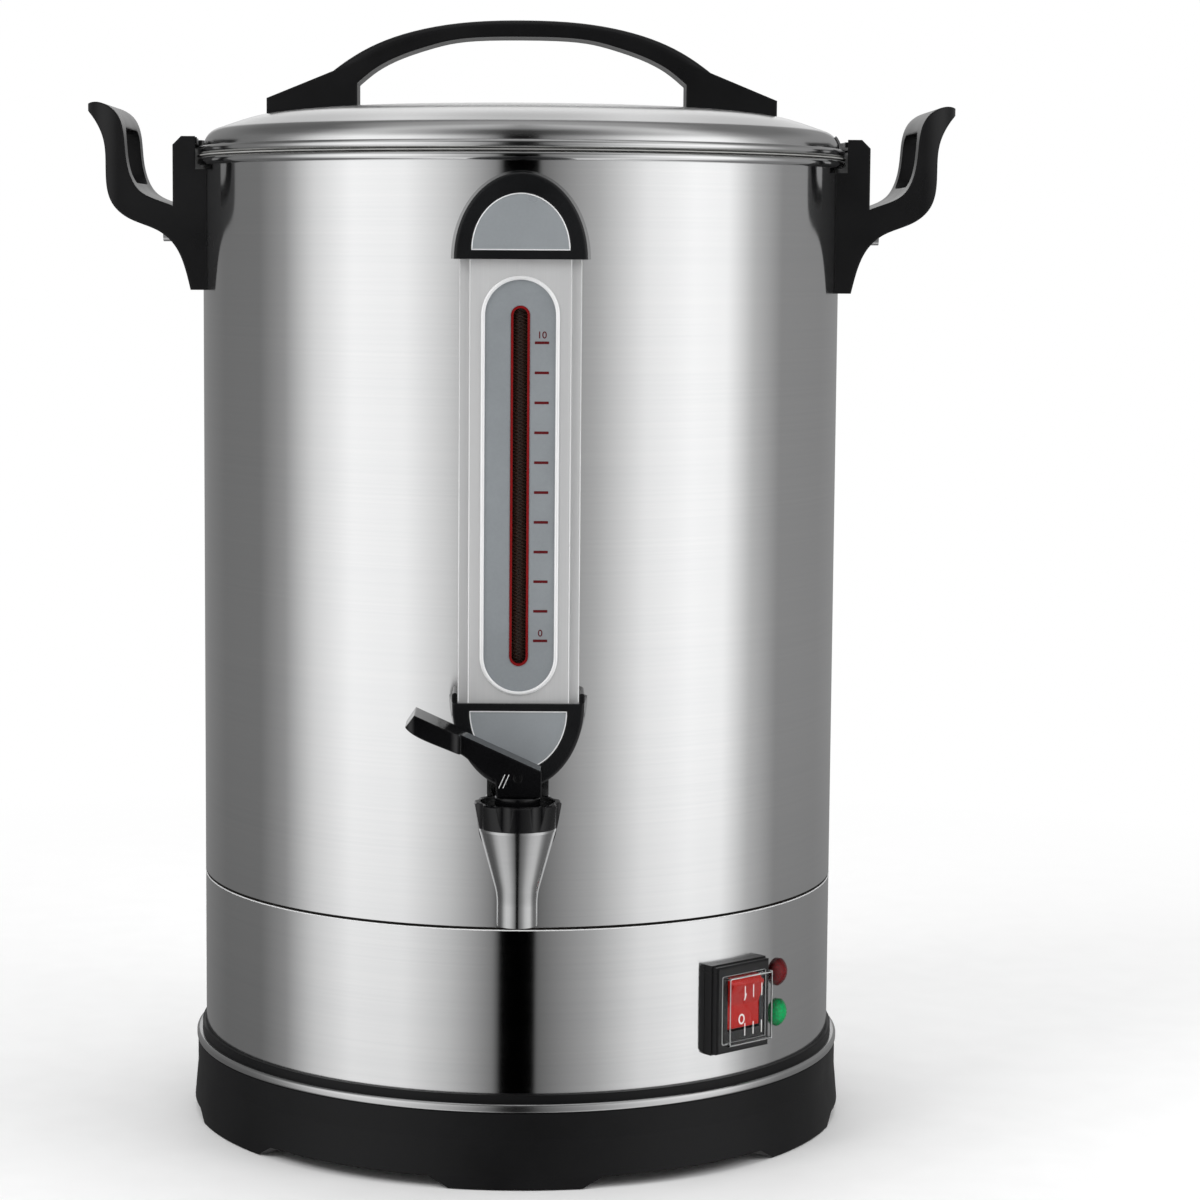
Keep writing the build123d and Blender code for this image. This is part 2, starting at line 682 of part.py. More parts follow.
with BuildPart() as lid_ears:
    for centre in (180, 0):
        with BuildSketch(Plane.XZ) as strip:
            with BuildLine():
                CenterArc((CORNER_MID_R, LID_CORNER_Z), LID_SHOULDER_R + FIT, 12, 30)
                CenterArc((CORNER_MID_R, LID_CORNER_Z), LID_SHOULDER_R + FIT + EAR_T, 12, 30)
                for angle in (12, 42):
                    inner_end = LID_SHOULDER_R + FIT
                    outer_end = inner_end + EAR_T
                    Line(
                        (
                            CORNER_MID_R + inner_end * cos(radians(angle)),
                            LID_CORNER_Z + inner_end * sin(radians(angle)),
                        ),
                        (
                            CORNER_MID_R + outer_end * cos(radians(angle)),
                            LID_CORNER_Z + outer_end * sin(radians(angle)),
                        ),
                    )
            make_face()
            tab_start = LID_R + FIT
            with Locations(((tab_start + EAR_REACH_R) / 2, EAR_Z + EAR_T / 2)):
                Rectangle(EAR_REACH_R - tab_start, EAR_T)
            with Locations((LID_R + FIT + EAR_T / 2, EAR_Z + 1.5 * EAR_T)):
                Rectangle(EAR_T, 3 * EAR_T)
        start = centre - EAR_START_ANGLE - EAR_ARC
        piece = Solid.revolve(strip.sketch.face(), EAR_ARC, Axis.Z)
        add(piece.rotate(Axis.Z, start))

with BuildPart() as lid_seal:
    seal_z = RIM_Z + GAP
    seal_r = TANK_R - GAP
    add(
        section(
            [
                (seal_r, seal_z),
                (LID_R - SHEET + 2 * LID_BEAD_R, seal_z),
                (LID_R - SHEET + 2 * LID_BEAD_R, seal_z + SEAL_T),
                (seal_r - SEAL_LIP_W, seal_z + SEAL_T),
                (seal_r - SEAL_LIP_W, seal_z - SEAL_LIP_H),
                (seal_r, seal_z - SEAL_LIP_H),
            ]
        )
    )
    revolve(axis=Axis.Z)

with BuildPart() as lid_handle:
    top_z = LID_CROWN_Z + LID_HANDLE_RISE
    toe_z = LID_CROWN_Z - LID_CREST_DROP + LID_TOE_TOP
    knee = (0.746 * LID_HANDLE_REACH, toe_z + 12.4)
    arch_z = top_z - LID_HANDLE_T
    for side in (-1, 1):
        with BuildSketch(Plane.XZ):
            with BuildLine():
                Spline(
                    (0, top_z),
                    (side * 0.35 * LID_HANDLE_REACH, top_z - 3.3),
                    (side * 0.59 * LID_HANDLE_REACH, top_z - 12.4),
                    (side * knee[0], knee[1]),
                    tangents=((side, 0), (side * 0.78, -0.62)),
                )
                Polyline(
                    (side * knee[0], knee[1]),
                    (side * LID_HANDLE_REACH, toe_z),
                    (side * LID_HANDLE_REACH, LID_CORNER_Z + 2),
                    (side * LID_POST_X, LID_CORNER_Z + 2),
                    (side * LID_POST_X, arch_z - 21.8),
                )
                Spline(
                    (side * LID_POST_X, arch_z - 21.8),
                    (side * 0.57 * LID_HANDLE_REACH, arch_z - 14.7),
                    (side * 0.38 * LID_HANDLE_REACH, arch_z - 5.0),
                    (0, arch_z),
                    tangents=((-side * 0.75, 0.66), (-side, 0)),
                )
                Line((0, arch_z), (0, top_z))
            make_face()
        extrude(amount=LID_HANDLE_W / 2, both=True)
    long_edges = edges().filter_by(GeomType.BSPLINE).group_by(Axis.Z)
    fillet(long_edges[-1], 3.5)
    add(lid_envelope.part, mode=Mode.SUBTRACT)
    with BuildSketch(Plane.XY.offset(LID_CORNER_Z)):
        with GridLocations(2 * LID_SCREW_X, 0, 2, 1):
            Circle(LID_SCREW_R + FIT)
    extrude(amount=toe_z + 3 - LID_CORNER_Z, mode=Mode.SUBTRACT)

with BuildPart() as lid_handle_screws:
    head_z = LID_CROWN_Z - LID_CREST_DROP - SHEET + 0.5
    with BuildSketch(Plane.XY.offset(head_z)):
        with GridLocations(2 * LID_SCREW_X, 0, 2, 1):
            Circle(2 * LID_SCREW_R)
    extrude(amount=-2.4)
    with BuildSketch(Plane.XY.offset(head_z)):
        with GridLocations(2 * LID_SCREW_X, 0, 2, 1):
            Circle(LID_SCREW_R)
    extrude(amount=toe_z + 2 - head_z)

# ================================================================ side handles
SLOT_END = LOCK_TURN - EAR_START_ANGLE + 0.3  # ear slot, in degrees past the handle's centre line
REST_END = EAR_START_ANGLE + EAR_ARC + 0.4
TONGUE_EDGE = EAR_START_ANGLE / 2
RIM_CUT_R = TANK_R + 2 * RIM_BEAD_R + RIM_CLEARANCE
RIM_CUT_Z = RIM_MID_Z - RIM_BEAD_R - RIM_CLEARANCE


def from_rim(points):
    """Radial-plane points from (distance from the barrel, height above the rim)."""
    return [(BARREL_R + out, RIM_Z + height) for out, height in points]


def side_handle():
    """Handle of the +X side; the other one is the same part turned half a turn."""
    underside = from_rim(HANDLE_UNDERSIDE)
    inside = from_rim(HANDLE_INSIDE)
    with BuildPart() as handle:
        with BuildSketch(Plane.XZ):
            with BuildLine():
                Spline(*underside)
                Spline(*inside)
                Line(underside[0], inside[0])
                Polyline(
                    inside[-1],
                    (BLOCK_FACE_X, BLOCK_TOP_Z - BLOCK_CHAMFER),
                    (BLOCK_FACE_X - BLOCK_CHAMFER, BLOCK_TOP_Z),
                    (BARREL_R - 10, BLOCK_TOP_Z),
                    (BARREL_R - 10, BLOCK_BOTTOM_Z),
                    underside[-1],
                )
            make_face()
        extrude(amount=HANDLE_W / 2, both=True)
        with BuildSketch(Plane.XY.offset(BLOCK_BOTTOM_Z)):
            with Locations((HANDLE_REACH - BARREL_R, 0)):
                Rectangle(2 * BARREL_R, HANDLE_W)
            tip_corners = vertices().group_by(Axis.X)[-1]
            fillet(tip_corners, HANDLE_TIP_ROUND)
        extrude(amount=HANDLE_TOP_Z + 5 - BLOCK_BOTTOM_Z, mode=Mode.INTERSECT)
        with BuildSketch(Plane.YZ.offset(HANDLE_REACH)):
            with Locations((0, (GRIP_GAP_BOTTOM_Z + GRIP_GAP_TOP_Z) / 2)):
                RectangleRounded(GRIP_GAP_W, GRIP_GAP_TOP_Z - GRIP_GAP_BOTTOM_Z, GRIP_GAP_ROUND)
        extrude(amount=BLOCK_FACE_X + 5 - HANDLE_REACH, mode=Mode.SUBTRACT)
        with BuildSketch(Plane.YZ.offset(NUT_SEAT_X)):
            with Locations((0, LOWER_BOLT_Z)):
                Rectangle(NUT_POCKET_W, NUT_POCKET_H)
        extrude(amount=HANDLE_REACH - NUT_SEAT_X, mode=Mode.SUBTRACT)
        cut_barrel(FIT)
        # room for the two rims, and for the ear: its slot under the tongue and the opening it lifts out of
        with BuildSketch(Plane.XY.offset(RIM_CUT_Z)):
            Circle(RIM_CUT_R)
        extrude(amount=TONGUE_Z - RIM_CUT_Z, mode=Mode.SUBTRACT)
        with BuildSketch(Plane.XY.offset(TONGUE_Z)):
            Circle(TONGUE_TIP_R)
            add(sector(TONGUE_TIP_R - 5, RIM_CUT_R, SLOT_END + 0.8, 20, 0))
            add(sector(TONGUE_TIP_R - 5, RIM_CUT_R, -REST_END - 20, 20, 0))
        extrude(amount=BLOCK_TOP_Z - TONGUE_Z, mode=Mode.SUBTRACT)
        add(sector(TONGUE_TIP_R - 5, EAR_REACH_R + GAP, -REST_END, REST_END + SLOT_END, EAR_Z - GAP))
        extrude(amount=TONGUE_Z - EAR_Z + GAP, mode=Mode.SUBTRACT)
        add(sector(TONGUE_TIP_R - 5, EAR_REACH_R + GAP, -REST_END, REST_END - TONGUE_EDGE, EAR_Z - GAP))
        extrude(amount=BLOCK_TOP_Z - EAR_Z + GAP, mode=Mode.SUBTRACT)
        with BuildSketch(Plane.YZ):
            with Locations((0, LOWER_BOLT_Z)):
                Circle(LOWER_BOLT_R + FIT)
        extrude(amount=HANDLE_REACH, mode=Mode.SUBTRACT)
        with BuildSketch(Plane.YZ):
            with Locations((0, UPPER_SCREW_Z)):
                Circle(UPPER_SCREW_R + FIT)
        extrude(amount=BARREL_R + UPPER_SCREW_BITE + 0.5, mode=Mode.SUBTRACT)
    return handle.part


with BuildPart() as handle_right:
    add(side_handle())

with BuildPart() as handle_left:
    add(side_handle().rotate(Axis.Z, 180))

BOLT_SEAT_X = sqrt(TANK_R**2 - (1.7 * LOWER_BOLT_R) ** 2)
with BuildPart() as handle_bolts:
    for side in (-1, 1):
        for height, radius, end in (
            (LOWER_BOLT_Z, LOWER_BOLT_R, LOWER_BOLT_END),
            (UPPER_SCREW_Z, UPPER_SCREW_R, BARREL_R + UPPER_SCREW_BITE),
        ):
            seat = Plane(origin=(side * BOLT_SEAT_X, 0, height), x_dir=(0, side, 0), z_dir=(side, 0, 0))
            with BuildSketch(seat):
                Circle(1.7 * radius)
            extrude(amount=-BOLT_HEAD_H)
            with BuildSketch(seat.offset(-1)):
                Circle(radius)
            extrude(amount=end - BOLT_SEAT_X + 1)

with BuildPart() as handle_nuts:
    for side in (-1, 1):
        seat = Plane(origin=(side * NUT_SEAT_X, 0, LOWER_BOLT_Z), x_dir=(0, side, 0), z_dir=(side, 0, 0))
        add(hex_nut(seat, 1.9 * LOWER_BOLT_R, 1.6 * LOWER_BOLT_R, LOWER_BOLT_R + FIT))

# ================================================================ sight gauge
COLUMN_BOTTOM_Z = CAP_BOTTOM_Z - COLUMN_INSERT
COLUMN_TOP_Z = CAP_TOP_Z + COLUMN_INSERT
COLUMN_BACK_Y = -BARREL_R + 10
SCALE_BACK_Y = GAUGE_FRONT_Y - SCALE_RECESS
with BuildPart() as gauge_column:
    half_w = COLUMN_W / 2
    front_half_w = half_w - COLUMN_LIP_W
    lip_y = -GAUGE_FRONT_Y + COLUMN_LIP_SETBACK
    inner_y = -GAUGE_FRONT_Y + COLUMN_WALL
    with BuildSketch(Plane.XY.offset(COLUMN_BOTTOM_Z)):
        with BuildLine():
            corners = [
                (half_w, COLUMN_BACK_Y),
                (half_w, lip_y),
                (front_half_w, lip_y),
                (front_half_w, -GAUGE_FRONT_Y),
            ]
            inner_corners = [
                (half_w - COLUMN_WALL, COLUMN_BACK_Y),
                (half_w - COLUMN_WALL, lip_y + COLUMN_WALL),
                (front_half_w - COLUMN_WALL, lip_y + COLUMN_WALL),
                (front_half_w - COLUMN_WALL, inner_y),
            ]
            Polyline(*corners, *[(-x, y) for x, y in reversed(corners)])
            Polyline(*inner_corners, *[(-x, y) for x, y in reversed(inner_corners)])
            for side in (-1, 1):
                Line((side * half_w, COLUMN_BACK_Y), (side * (half_w - COLUMN_WALL), COLUMN_BACK_Y))
        make_face()
    extrude(amount=COLUMN_TOP_Z - COLUMN_BOTTOM_Z)
    with BuildSketch(Plane.XZ.offset(GAUGE_FRONT_Y)):
        with Locations((0, SCALE_MID_Z)):
            SlotOverall(SCALE_H, SCALE_W, rotation=90)
    extrude(amount=-SCALE_RECESS, mode=Mode.SUBTRACT)
    with BuildSketch(Plane.XZ.offset(GAUGE_FRONT_Y)):
        with Locations((0, SCALE_MID_Z)):
            SlotOverall(SLOT_H + 2 * FIT, SLOT_W + 2 * FIT, rotation=90)
    extrude(amount=-COLUMN_WALL - 1, mode=Mode.SUBTRACT)
    cut_barrel(FIT)

with BuildPart() as gauge_scale:
    with BuildSketch(Plane.XZ.offset(SCALE_BACK_Y)):
        with Locations((0, SCALE_MID_Z)):
            SlotOverall(SCALE_H - 2 * SCALE_GAP, SCALE_W - 2 * SCALE_GAP, rotation=90)
            SlotOverall(SLOT_H + 2 * FIT, SLOT_W + 2 * FIT, rotation=90, mode=Mode.SUBTRACT)
    extrude(amount=SCALE_T)

with BuildPart() as gauge_lining:
    with BuildSketch(Plane.XZ.offset(GAUGE_FRONT_Y)):
        with Locations((0, SCALE_MID_Z)):
            SlotOverall(SLOT_H, SLOT_W, rotation=90)
            SlotOverall(SLOT_H - 2 * SLOT_LINING, SLOT_W - 2 * SLOT_LINING, rotation=90, mode=Mode.SUBTRACT)
    extrude(amount=-SLOT_LINING_DEPTH)

with BuildPart() as gauge_tube:
    with BuildSketch(Plane.XY.offset(TUBE_BOTTOM_Z)):
        with Locations((0, -TUBE_Y)):
            Circle(TUBE_R)
            Circle(TUBE_BORE_R, mode=Mode.SUBTRACT)
    extrude(amount=TUBE_TOP_Z - TUBE_BOTTOM_Z)

with BuildPart() as gauge_seal:
    with BuildSketch(Plane.XY.offset(TEE_TOP_Z - TUBE_SEAL_H)):
        with Locations((0, -TUBE_Y)):
            Circle(TUBE_SEAL_R - FIT)
            Circle(TUBE_R + FIT, mode=Mode.SUBTRACT)
    extrude(amount=TUBE_SEAL_H)

with BuildPart() as gauge_tee:
    with BuildSketch(Plane.XZ.offset(GAUGE_FRONT_Y)):
        with Locations((0, TEE_BASE_MID_Z)):
            Circle(TEE_BASE_R)
        with Locations((0, (TEE_BASE_MID_Z + TEE_TOP_Z) / 2)):
            Rectangle(2 * TEE_HALF_W, TEE_TOP_Z - TEE_BASE_MID_Z)
        with Locations((0, SHANK_Z)):
            Circle(SHANK_R + FIT, mode=Mode.SUBTRACT)
    extrude(amount=BARREL_R + TEE_BACK_GAP - GAUGE_FRONT_Y)
    for radius, low_z in (
        (PORT_R, SHANK_Z),
        (TUBE_R + FIT, TUBE_BOTTOM_Z),
        (TUBE_SEAL_R, TEE_TOP_Z - TUBE_SEAL_H),
    ):
        with BuildSketch(Plane.XY.offset(low_z)):
            with Locations((0, -TUBE_Y)):
                Circle(radius)
        extrude(amount=TEE_TOP_Z - low_z, mode=Mode.SUBTRACT)

HEAD_BOTTOM_Z = TUBE_TOP_Z - TUBE_SEAL_H
HEAD_FRONT_Y = GAUGE_FRONT_Y - COLUMN_WALL - 1
with BuildPart() as gauge_head:
    with BuildSketch(Plane.XZ.offset(HEAD_FRONT_Y)):
        with Locations((0, (HEAD_BOTTOM_Z + HEAD_TOP_Z) / 2)):
            RectangleRounded(2 * HEAD_HALF_W, HEAD_TOP_Z - HEAD_BOTTOM_Z, 2)
        with Locations((0, GAUGE_SCREW_Z)):
            Circle(GAUGE_SCREW_R + FIT, mode=Mode.SUBTRACT)
    extrude(amount=BARREL_R - 5 - HEAD_FRONT_Y)
    with BuildSketch(Plane.XY.offset(HEAD_BOTTOM_Z)):
        with Locations((0, -TUBE_Y)):
            Circle(TUBE_R + FIT)
    extrude(amount=TUBE_SEAL_H + 1, mode=Mode.SUBTRACT)
    cut_barrel(FIT)

CAP_FACE_Y = GAUGE_FRONT_Y + CAP_FRONT
CAP_DEPTH = CAP_FACE_Y - BARREL_R + 6
CAP_GROWTH = CAP_DEPTH * sin(radians(CAP_DRAFT))
BOSS_R = GAUGE_SCREW_R + 2.5


def gauge_cap(base_z, height, upwards):
    """Arched hood over one end of the column, open towards the barrel and the column."""
    with BuildPart() as hood:
        for shrink, face_y in ((0, CAP_FACE_Y), (CAP_WALL, CAP_FACE_Y - CAP_WALL)):
            growth = CAP_GROWTH * (1 - (CAP_FACE_Y - face_y) / CAP_DEPTH) - shrink
            front = half_ellipse(CAP_HALF_W - shrink, height - shrink, base_z, upwards, face_y)
            back = half_ellipse(CAP_HALF_W + growth, height + growth, base_z, upwards, CAP_FACE_Y - CAP_DEPTH)
            loft(sections=[front.face(), back.face()], mode=Mode.ADD if shrink == 0 else Mode.SUBTRACT)
            if shrink == 0:
                front_edges = faces().sort_by(Axis.Y)[0].edges()
                fillet(front_edges.sort_by(Edge.length)[-1], CAP_EDGE_R)
        cut_barrel(FIT)
    return hood.part


def inlay_face(base_z, height, upwards, strip, gap, face_y):
    """Outline of a cap's inlay; the gap is taken off all round."""
    way = 1 if upwards else -1
    inlay_height = height - strip - 1.15 * CAP_BORDER
    return half_ellipse(
        CAP_HALF_W - CAP_BORDER - gap, inlay_height - 2 * gap, base_z + way * (strip + gap), upwards, face_y
    )


with BuildPart() as gauge_cap_top:
    add(gauge_cap(CAP_TOP_Z, CAP_H, True))
    with BuildSketch(Plane.XZ.offset(CAP_FACE_Y - CAP_WALL)):
        with Locations((0, GAUGE_SCREW_Z)):
            Circle(BOSS_R)
            Circle(GAUGE_SCREW_R + FIT, mode=Mode.SUBTRACT)
    extrude(amount=HEAD_FRONT_Y + FIT - CAP_FACE_Y + CAP_WALL)
    recess = inlay_face(CAP_TOP_Z, CAP_H, True, CAP_STRIP, 0, CAP_FACE_Y + 1)
    extrude(recess, amount=-INLAY_T - 1, mode=Mode.SUBTRACT)

with BuildPart() as gauge_inlay_top:
    plate = inlay_face(CAP_TOP_Z, CAP_H, True, CAP_STRIP, FIT, CAP_FACE_Y - INLAY_SUNK)
    extrude(plate, amount=INLAY_SUNK - INLAY_T)

CHEEK_X = COLUMN_W / 2 + 2 * FIT
with BuildPart() as gauge_cap_bottom:
    add(gauge_cap(CAP_BOTTOM_Z, LOWER_CAP_H, False))
    for side in (-1, 1):
        with BuildSketch(Plane.XZ.offset(GAUGE_FRONT_Y - COLUMN_LIP_SETBACK)):
            with Locations((side * (CHEEK_X + CHEEK_T / 2), CAP_BOTTOM_Z + (CHEEK_RISE - CHEEK_ROOT) / 2)):
                Rectangle(CHEEK_T, CHEEK_RISE + CHEEK_ROOT)
            top_corners = vertices().group_by(Axis.Y)[-1]
            fillet(top_corners, CHEEK_ROUND)
        extrude(amount=-CAP_DEPTH + CAP_FRONT + COLUMN_LIP_SETBACK)
    cut_barrel(FIT)
    with BuildSketch(Plane.XZ.offset(GAUGE_FRONT_Y + FIT)):
        with Locations((0, CAP_BOTTOM_Z - LOWER_CAP_H)):
            Rectangle(2 * TEE_HALF_W + 4 * FIT, LOWER_CAP_H)
    extrude(amount=-CAP_DEPTH, mode=Mode.SUBTRACT)
    recess = inlay_face(CAP_BOTTOM_Z, LOWER_CAP_H, False, LOWER_CAP_STRIP, 0, CAP_FACE_Y + 1)
    extrude(recess, amount=-INLAY_T - 1, mode=Mode.SUBTRACT)

with BuildPart() as gauge_inlay_bottom:
    plate = inlay_face(CAP_BOTTOM_Z, LOWER_CAP_H, False, LOWER_CAP_STRIP, FIT, CAP_FACE_Y - INLAY_SUNK)
    extrude(plate, amount=INLAY_SUNK - INLAY_T)

with BuildPart() as gauge_screw:
    with BuildSketch(Plane.XZ.offset(TANK_R - FIT - 0.1)):
        with Locations((0, GAUGE_SCREW_Z)):
            Circle(2 * GAUGE_SCREW_R)
    extrude(amount=-BOLT_HEAD_H)
    with BuildSketch(Plane.XZ.offset(TANK_R - 1)):
        with Locations((0, GAUGE_SCREW_Z)):
            Circle(GAUGE_SCREW_R)
    extrude(amount=CAP_FACE_Y - CAP_WALL - 0.5 - TANK_R + 1)

# ================================================================ tap
TAP_AXIS = Axis((0, -TAP_Y, 0), (0, 0, 1))
TAP_PLANE = Plane.XZ.offset(TAP_Y)
NECK_TOP = CONE_TOP_Z + THREAD_H
FLANGE_Z = NECK_TOP + GAP
WEB_Z = FLANGE_Z + COLLAR_FLANGE_T + GAP


def tap_turned(*points):
    """Turned shape about the tap's axis, from (radius, height) points."""
    with BuildSketch(TAP_PLANE) as outline:
        with BuildLine():
            Polyline(*points, close=True)
        make_face()
    return Solid.revolve(outline.sketch.face(), 360, TAP_AXIS)


with BuildPart() as tap_body:
    with BuildSketch(TAP_PLANE):
        with BuildLine():
            flare = CenterArc((OUTLET_R + FLARE_R, NECK_END_Z), FLARE_R, 180, -FLARE_ANGLE)
            Polyline(
                flare @ 1,
                (CONE_R, CONE_TOP_Z - 1.2),
                (CONE_R, CONE_TOP_Z),
                (THREAD_R, CONE_TOP_Z),
                (THREAD_R, NECK_TOP),
                (CHAMBER_R, NECK_TOP),
                (CHAMBER_R, SEAT_Z + 9),
                (CUP_R + 0.4, SEAT_Z + 2),
                (CUP_R + 0.4, SEAT_Z),
                (OUTLET_BORE_R, SEAT_Z),
                (OUTLET_BORE_R, TAP_OUTLET_Z),
                (OUTLET_R, TAP_OUTLET_Z),
                flare @ 0,
            )
        make_face()
    revolve(axis=TAP_AXIS)
    with BuildSketch(Plane.XZ.offset(GAUGE_FRONT_Y + FIT)):
        with Locations((0, SHANK_Z)):
            Circle(TAP_BOSS_R)
    extrude(amount=TAP_Y - CHAMBER_R - 1 - GAUGE_FRONT_Y)
    with BuildSketch(Plane.XZ.offset(GAUGE_FRONT_Y)):
        with Locations((0, SHANK_Z)):
            Circle(SHANK_R + FIT)
    extrude(amount=TAP_Y - CHAMBER_R - 2.5 - GAUGE_FRONT_Y, mode=Mode.SUBTRACT)
    with BuildSketch(Plane.XZ.offset(GAUGE_FRONT_Y)):
        with Locations((0, SHANK_Z)):
            Circle(SHANK_BORE_R)
    extrude(amount=TAP_Y - GAUGE_FRONT_Y, mode=Mode.SUBTRACT)

with BuildPart() as tap_shank:
    with BuildSketch(Plane.XZ.offset(SHANK_INNER_Y)):
        with Locations((0, SHANK_Z)):
            Circle(SHANK_R)
            Circle(SHANK_BORE_R, mode=Mode.SUBTRACT)
    extrude(amount=TAP_Y - CHAMBER_R - 2.6 - SHANK_INNER_Y)
    with BuildSketch(Plane.XY.offset(SHANK_Z)):
        with Locations((0, -TUBE_Y)):
            Circle(PORT_R)
    extrude(amount=2 * SHANK_R, mode=Mode.SUBTRACT)

with BuildPart() as shank_gaskets:
    with BuildSketch(Plane.XZ.offset(BARREL_R + TEE_BACK_GAP - FIT)):
        with Locations((0, SHANK_Z)):
            Circle(GASKET_R)
            Circle(SHANK_R + FIT, mode=Mode.SUBTRACT)
    extrude(amount=-10)
    cut_barrel(FIT)
    with BuildSketch(Plane.XZ.offset(TANK_R - 2.5)):
        with Locations((0, SHANK_Z)):
            Circle(GASKET_R)
            Circle(SHANK_R + FIT, mode=Mode.SUBTRACT)
    extrude(amount=TANK_R - sqrt(TANK_R**2 - GASKET_R**2) + 1.6)

with BuildPart() as shank_nut:
    seat = Plane(origin=(0, -TANK_R + 2.6, SHANK_Z), x_dir=(1, 0, 0), z_dir=(0, 1, 0))
    add(hex_nut(seat, SHANK_NUT_R, SHANK_NUT_H, SHANK_R + FIT))

with BuildPart() as tap_bonnet:
    add(
        tap_turned(
            (BONNET_FOOT_R, CONE_TOP_Z + FIT),
            (BONNET_R, BONNET_TOP_Z - 0.6),
            (BONNET_R - 0.6, BONNET_TOP_Z),
            (BONNET_R - BONNET_LIP, BONNET_TOP_Z),
            (BONNET_R - BONNET_LIP, WEB_Z + BONNET_WEB_T),
            (COLLAR_R + RUN, WEB_Z + BONNET_WEB_T),
            (COLLAR_R + RUN, WEB_Z),
            (THREAD_R + FIT, WEB_Z),
            (THREAD_R + FIT, CONE_TOP_Z + FIT),
        )
    )
    with BuildSketch(Plane.XY.offset(CONE_TOP_Z - 1)):
        with Locations((0, -TAP_Y)):
            with PolarLocations(BONNET_R + FLUTE_R - FLUTE_DEPTH, FLUTES, start_angle=FLUTE_START):
                Circle(FLUTE_R)
    extrude(amount=BONNET_TOP_Z, mode=Mode.SUBTRACT)

with BuildPart() as tap_collar:
    add(
        tap_turned(
            (STEM_R + RUN, FLANGE_Z),
            (COLLAR_FLANGE_R, FLANGE_Z),
            (COLLAR_FLANGE_R, FLANGE_Z + COLLAR_FLANGE_T),
            (COLLAR_R, FLANGE_Z + COLLAR_FLANGE_T),
            (COLLAR_R, COLLAR_TOP_Z - 0.4),
            (COLLAR_R - 0.4, COLLAR_TOP_Z),
            (STEM_R + RUN, COLLAR_TOP_Z),
        )
    )

CUP_TOP_Z = SEAT_Z + GAP + CUP_H
with BuildPart() as tap_stem:
    add(
        tap_turned(
            (0, CUP_TOP_Z - 4),
            (STEM_R, CUP_TOP_Z - 4),
            (STEM_R, CUP_TOP_Z + FIT),
            (STEM_FOOT_R, CUP_TOP_Z + FIT),
            (STEM_FOOT_R, CUP_TOP_Z + STEM_FOOT_T),
            (STEM_R, CUP_TOP_Z + STEM_FOOT_T),
            (STEM_R, PIN_Z + STEM_ABOVE_PIN - 0.5),
            (STEM_R - 0.5, PIN_Z + STEM_ABOVE_PIN),
            (0, PIN_Z + STEM_ABOVE_PIN),
        )
    )
    with BuildSketch(Plane.XZ.offset(TAP_Y - STEM_R - 1)):
        with Locations((0, PIN_Z)):
            Circle(PIN_R + FIT)
    extrude(amount=2 * STEM_R + 2, mode=Mode.SUBTRACT)

with BuildPart() as seat_cup:
    add(
        tap_turned(
            (0, SEAT_Z + GAP),
            (CUP_R - 1, SEAT_Z + GAP),
            (CUP_R, SEAT_Z + GAP + 1),
            (CUP_R - 1.5, CUP_TOP_Z),
            (STEM_R + FIT, CUP_TOP_Z),
            (STEM_R + FIT, CUP_TOP_Z - 4 - FIT),
            (0, CUP_TOP_Z - 4 - FIT),
        )
    )

SPRING_BOTTOM_Z = CUP_TOP_Z + STEM_FOOT_T + FIT
SPRING_TOP_Z = FLANGE_Z - GAP
with BuildPart() as tap_spring:
    coil_height = SPRING_TOP_Z - SPRING_BOTTOM_Z - 2 * SPRING_WIRE_R
    with BuildLine():
        coil = Helix(
            pitch=coil_height / SPRING_TURNS,
            height=coil_height,
            radius=SPRING_R - SPRING_WIRE_R,
            center=(0, -TAP_Y, SPRING_BOTTOM_Z + SPRING_WIRE_R),
        )
    with BuildSketch(Plane(origin=coil @ 0, z_dir=coil % 0)):
        RegularPolygon(SPRING_WIRE_R, 6)
    sweep(is_frenet=True)

with BuildPart() as lever_pin:
    with BuildSketch(Plane.XZ.offset(TAP_Y - LEVER_W / 2 + 0.3)):
        with Locations((0, PIN_Z)):
            Circle(PIN_R)
    extrude(amount=LEVER_W - 0.6)

PIN_PLANE = Plane(origin=(0, -TAP_Y, PIN_Z), x_dir=(1, 0, 0), z_dir=(0, -1, 0))
with BuildPart() as tap_lever:
    with BuildSketch(PIN_PLANE):
        with BuildLine():
            Polyline(*LEVER_TOP_AND_HEEL)
            Spline(*LEVER_UNDERSIDE)
            Line(LEVER_UNDERSIDE[-1], LEVER_TOP_AND_HEEL[0])
        make_face()
    extrude(amount=PADDLE_W / 2, both=True)
    with BuildSketch(Plane.XY.offset(PIN_Z - 10)):
        with Locations((LEVER_UNDERSIDE[-1][0] / 2 + 10, -TAP_Y)):
            Rectangle(-LEVER_UNDERSIDE[-1][0], LEVER_W)
        with Locations((LEVER_UNDERSIDE[-1][0] + PADDLE_LENGTH / 2, -TAP_Y)):
            RectangleRounded(PADDLE_LENGTH, PADDLE_W, 4)
    extrude(amount=60, mode=Mode.INTERSECT)
    with BuildSketch(PIN_PLANE):
        Circle(hypot(STEM_R, STEM_ABOVE_PIN) + GAP)
        with Locations((-STEM_R / 2, -LEVER_SLOT_H / 2)):
            Rectangle(5 * STEM_R, LEVER_SLOT_H)
    extrude(amount=LEVER_SLOT_W / 2, both=True, mode=Mode.SUBTRACT)
    with BuildSketch(PIN_PLANE):
        Circle(PIN_R + RUN)
    extrude(amount=PADDLE_W, both=True, mode=Mode.SUBTRACT)

# ================================================================ switch and lamps
SWITCH_OUT = Axis((0, 0, 0), SWITCH_PLANE.z_dir)
ROCKER_SWING_R = ROCKER_H / 2
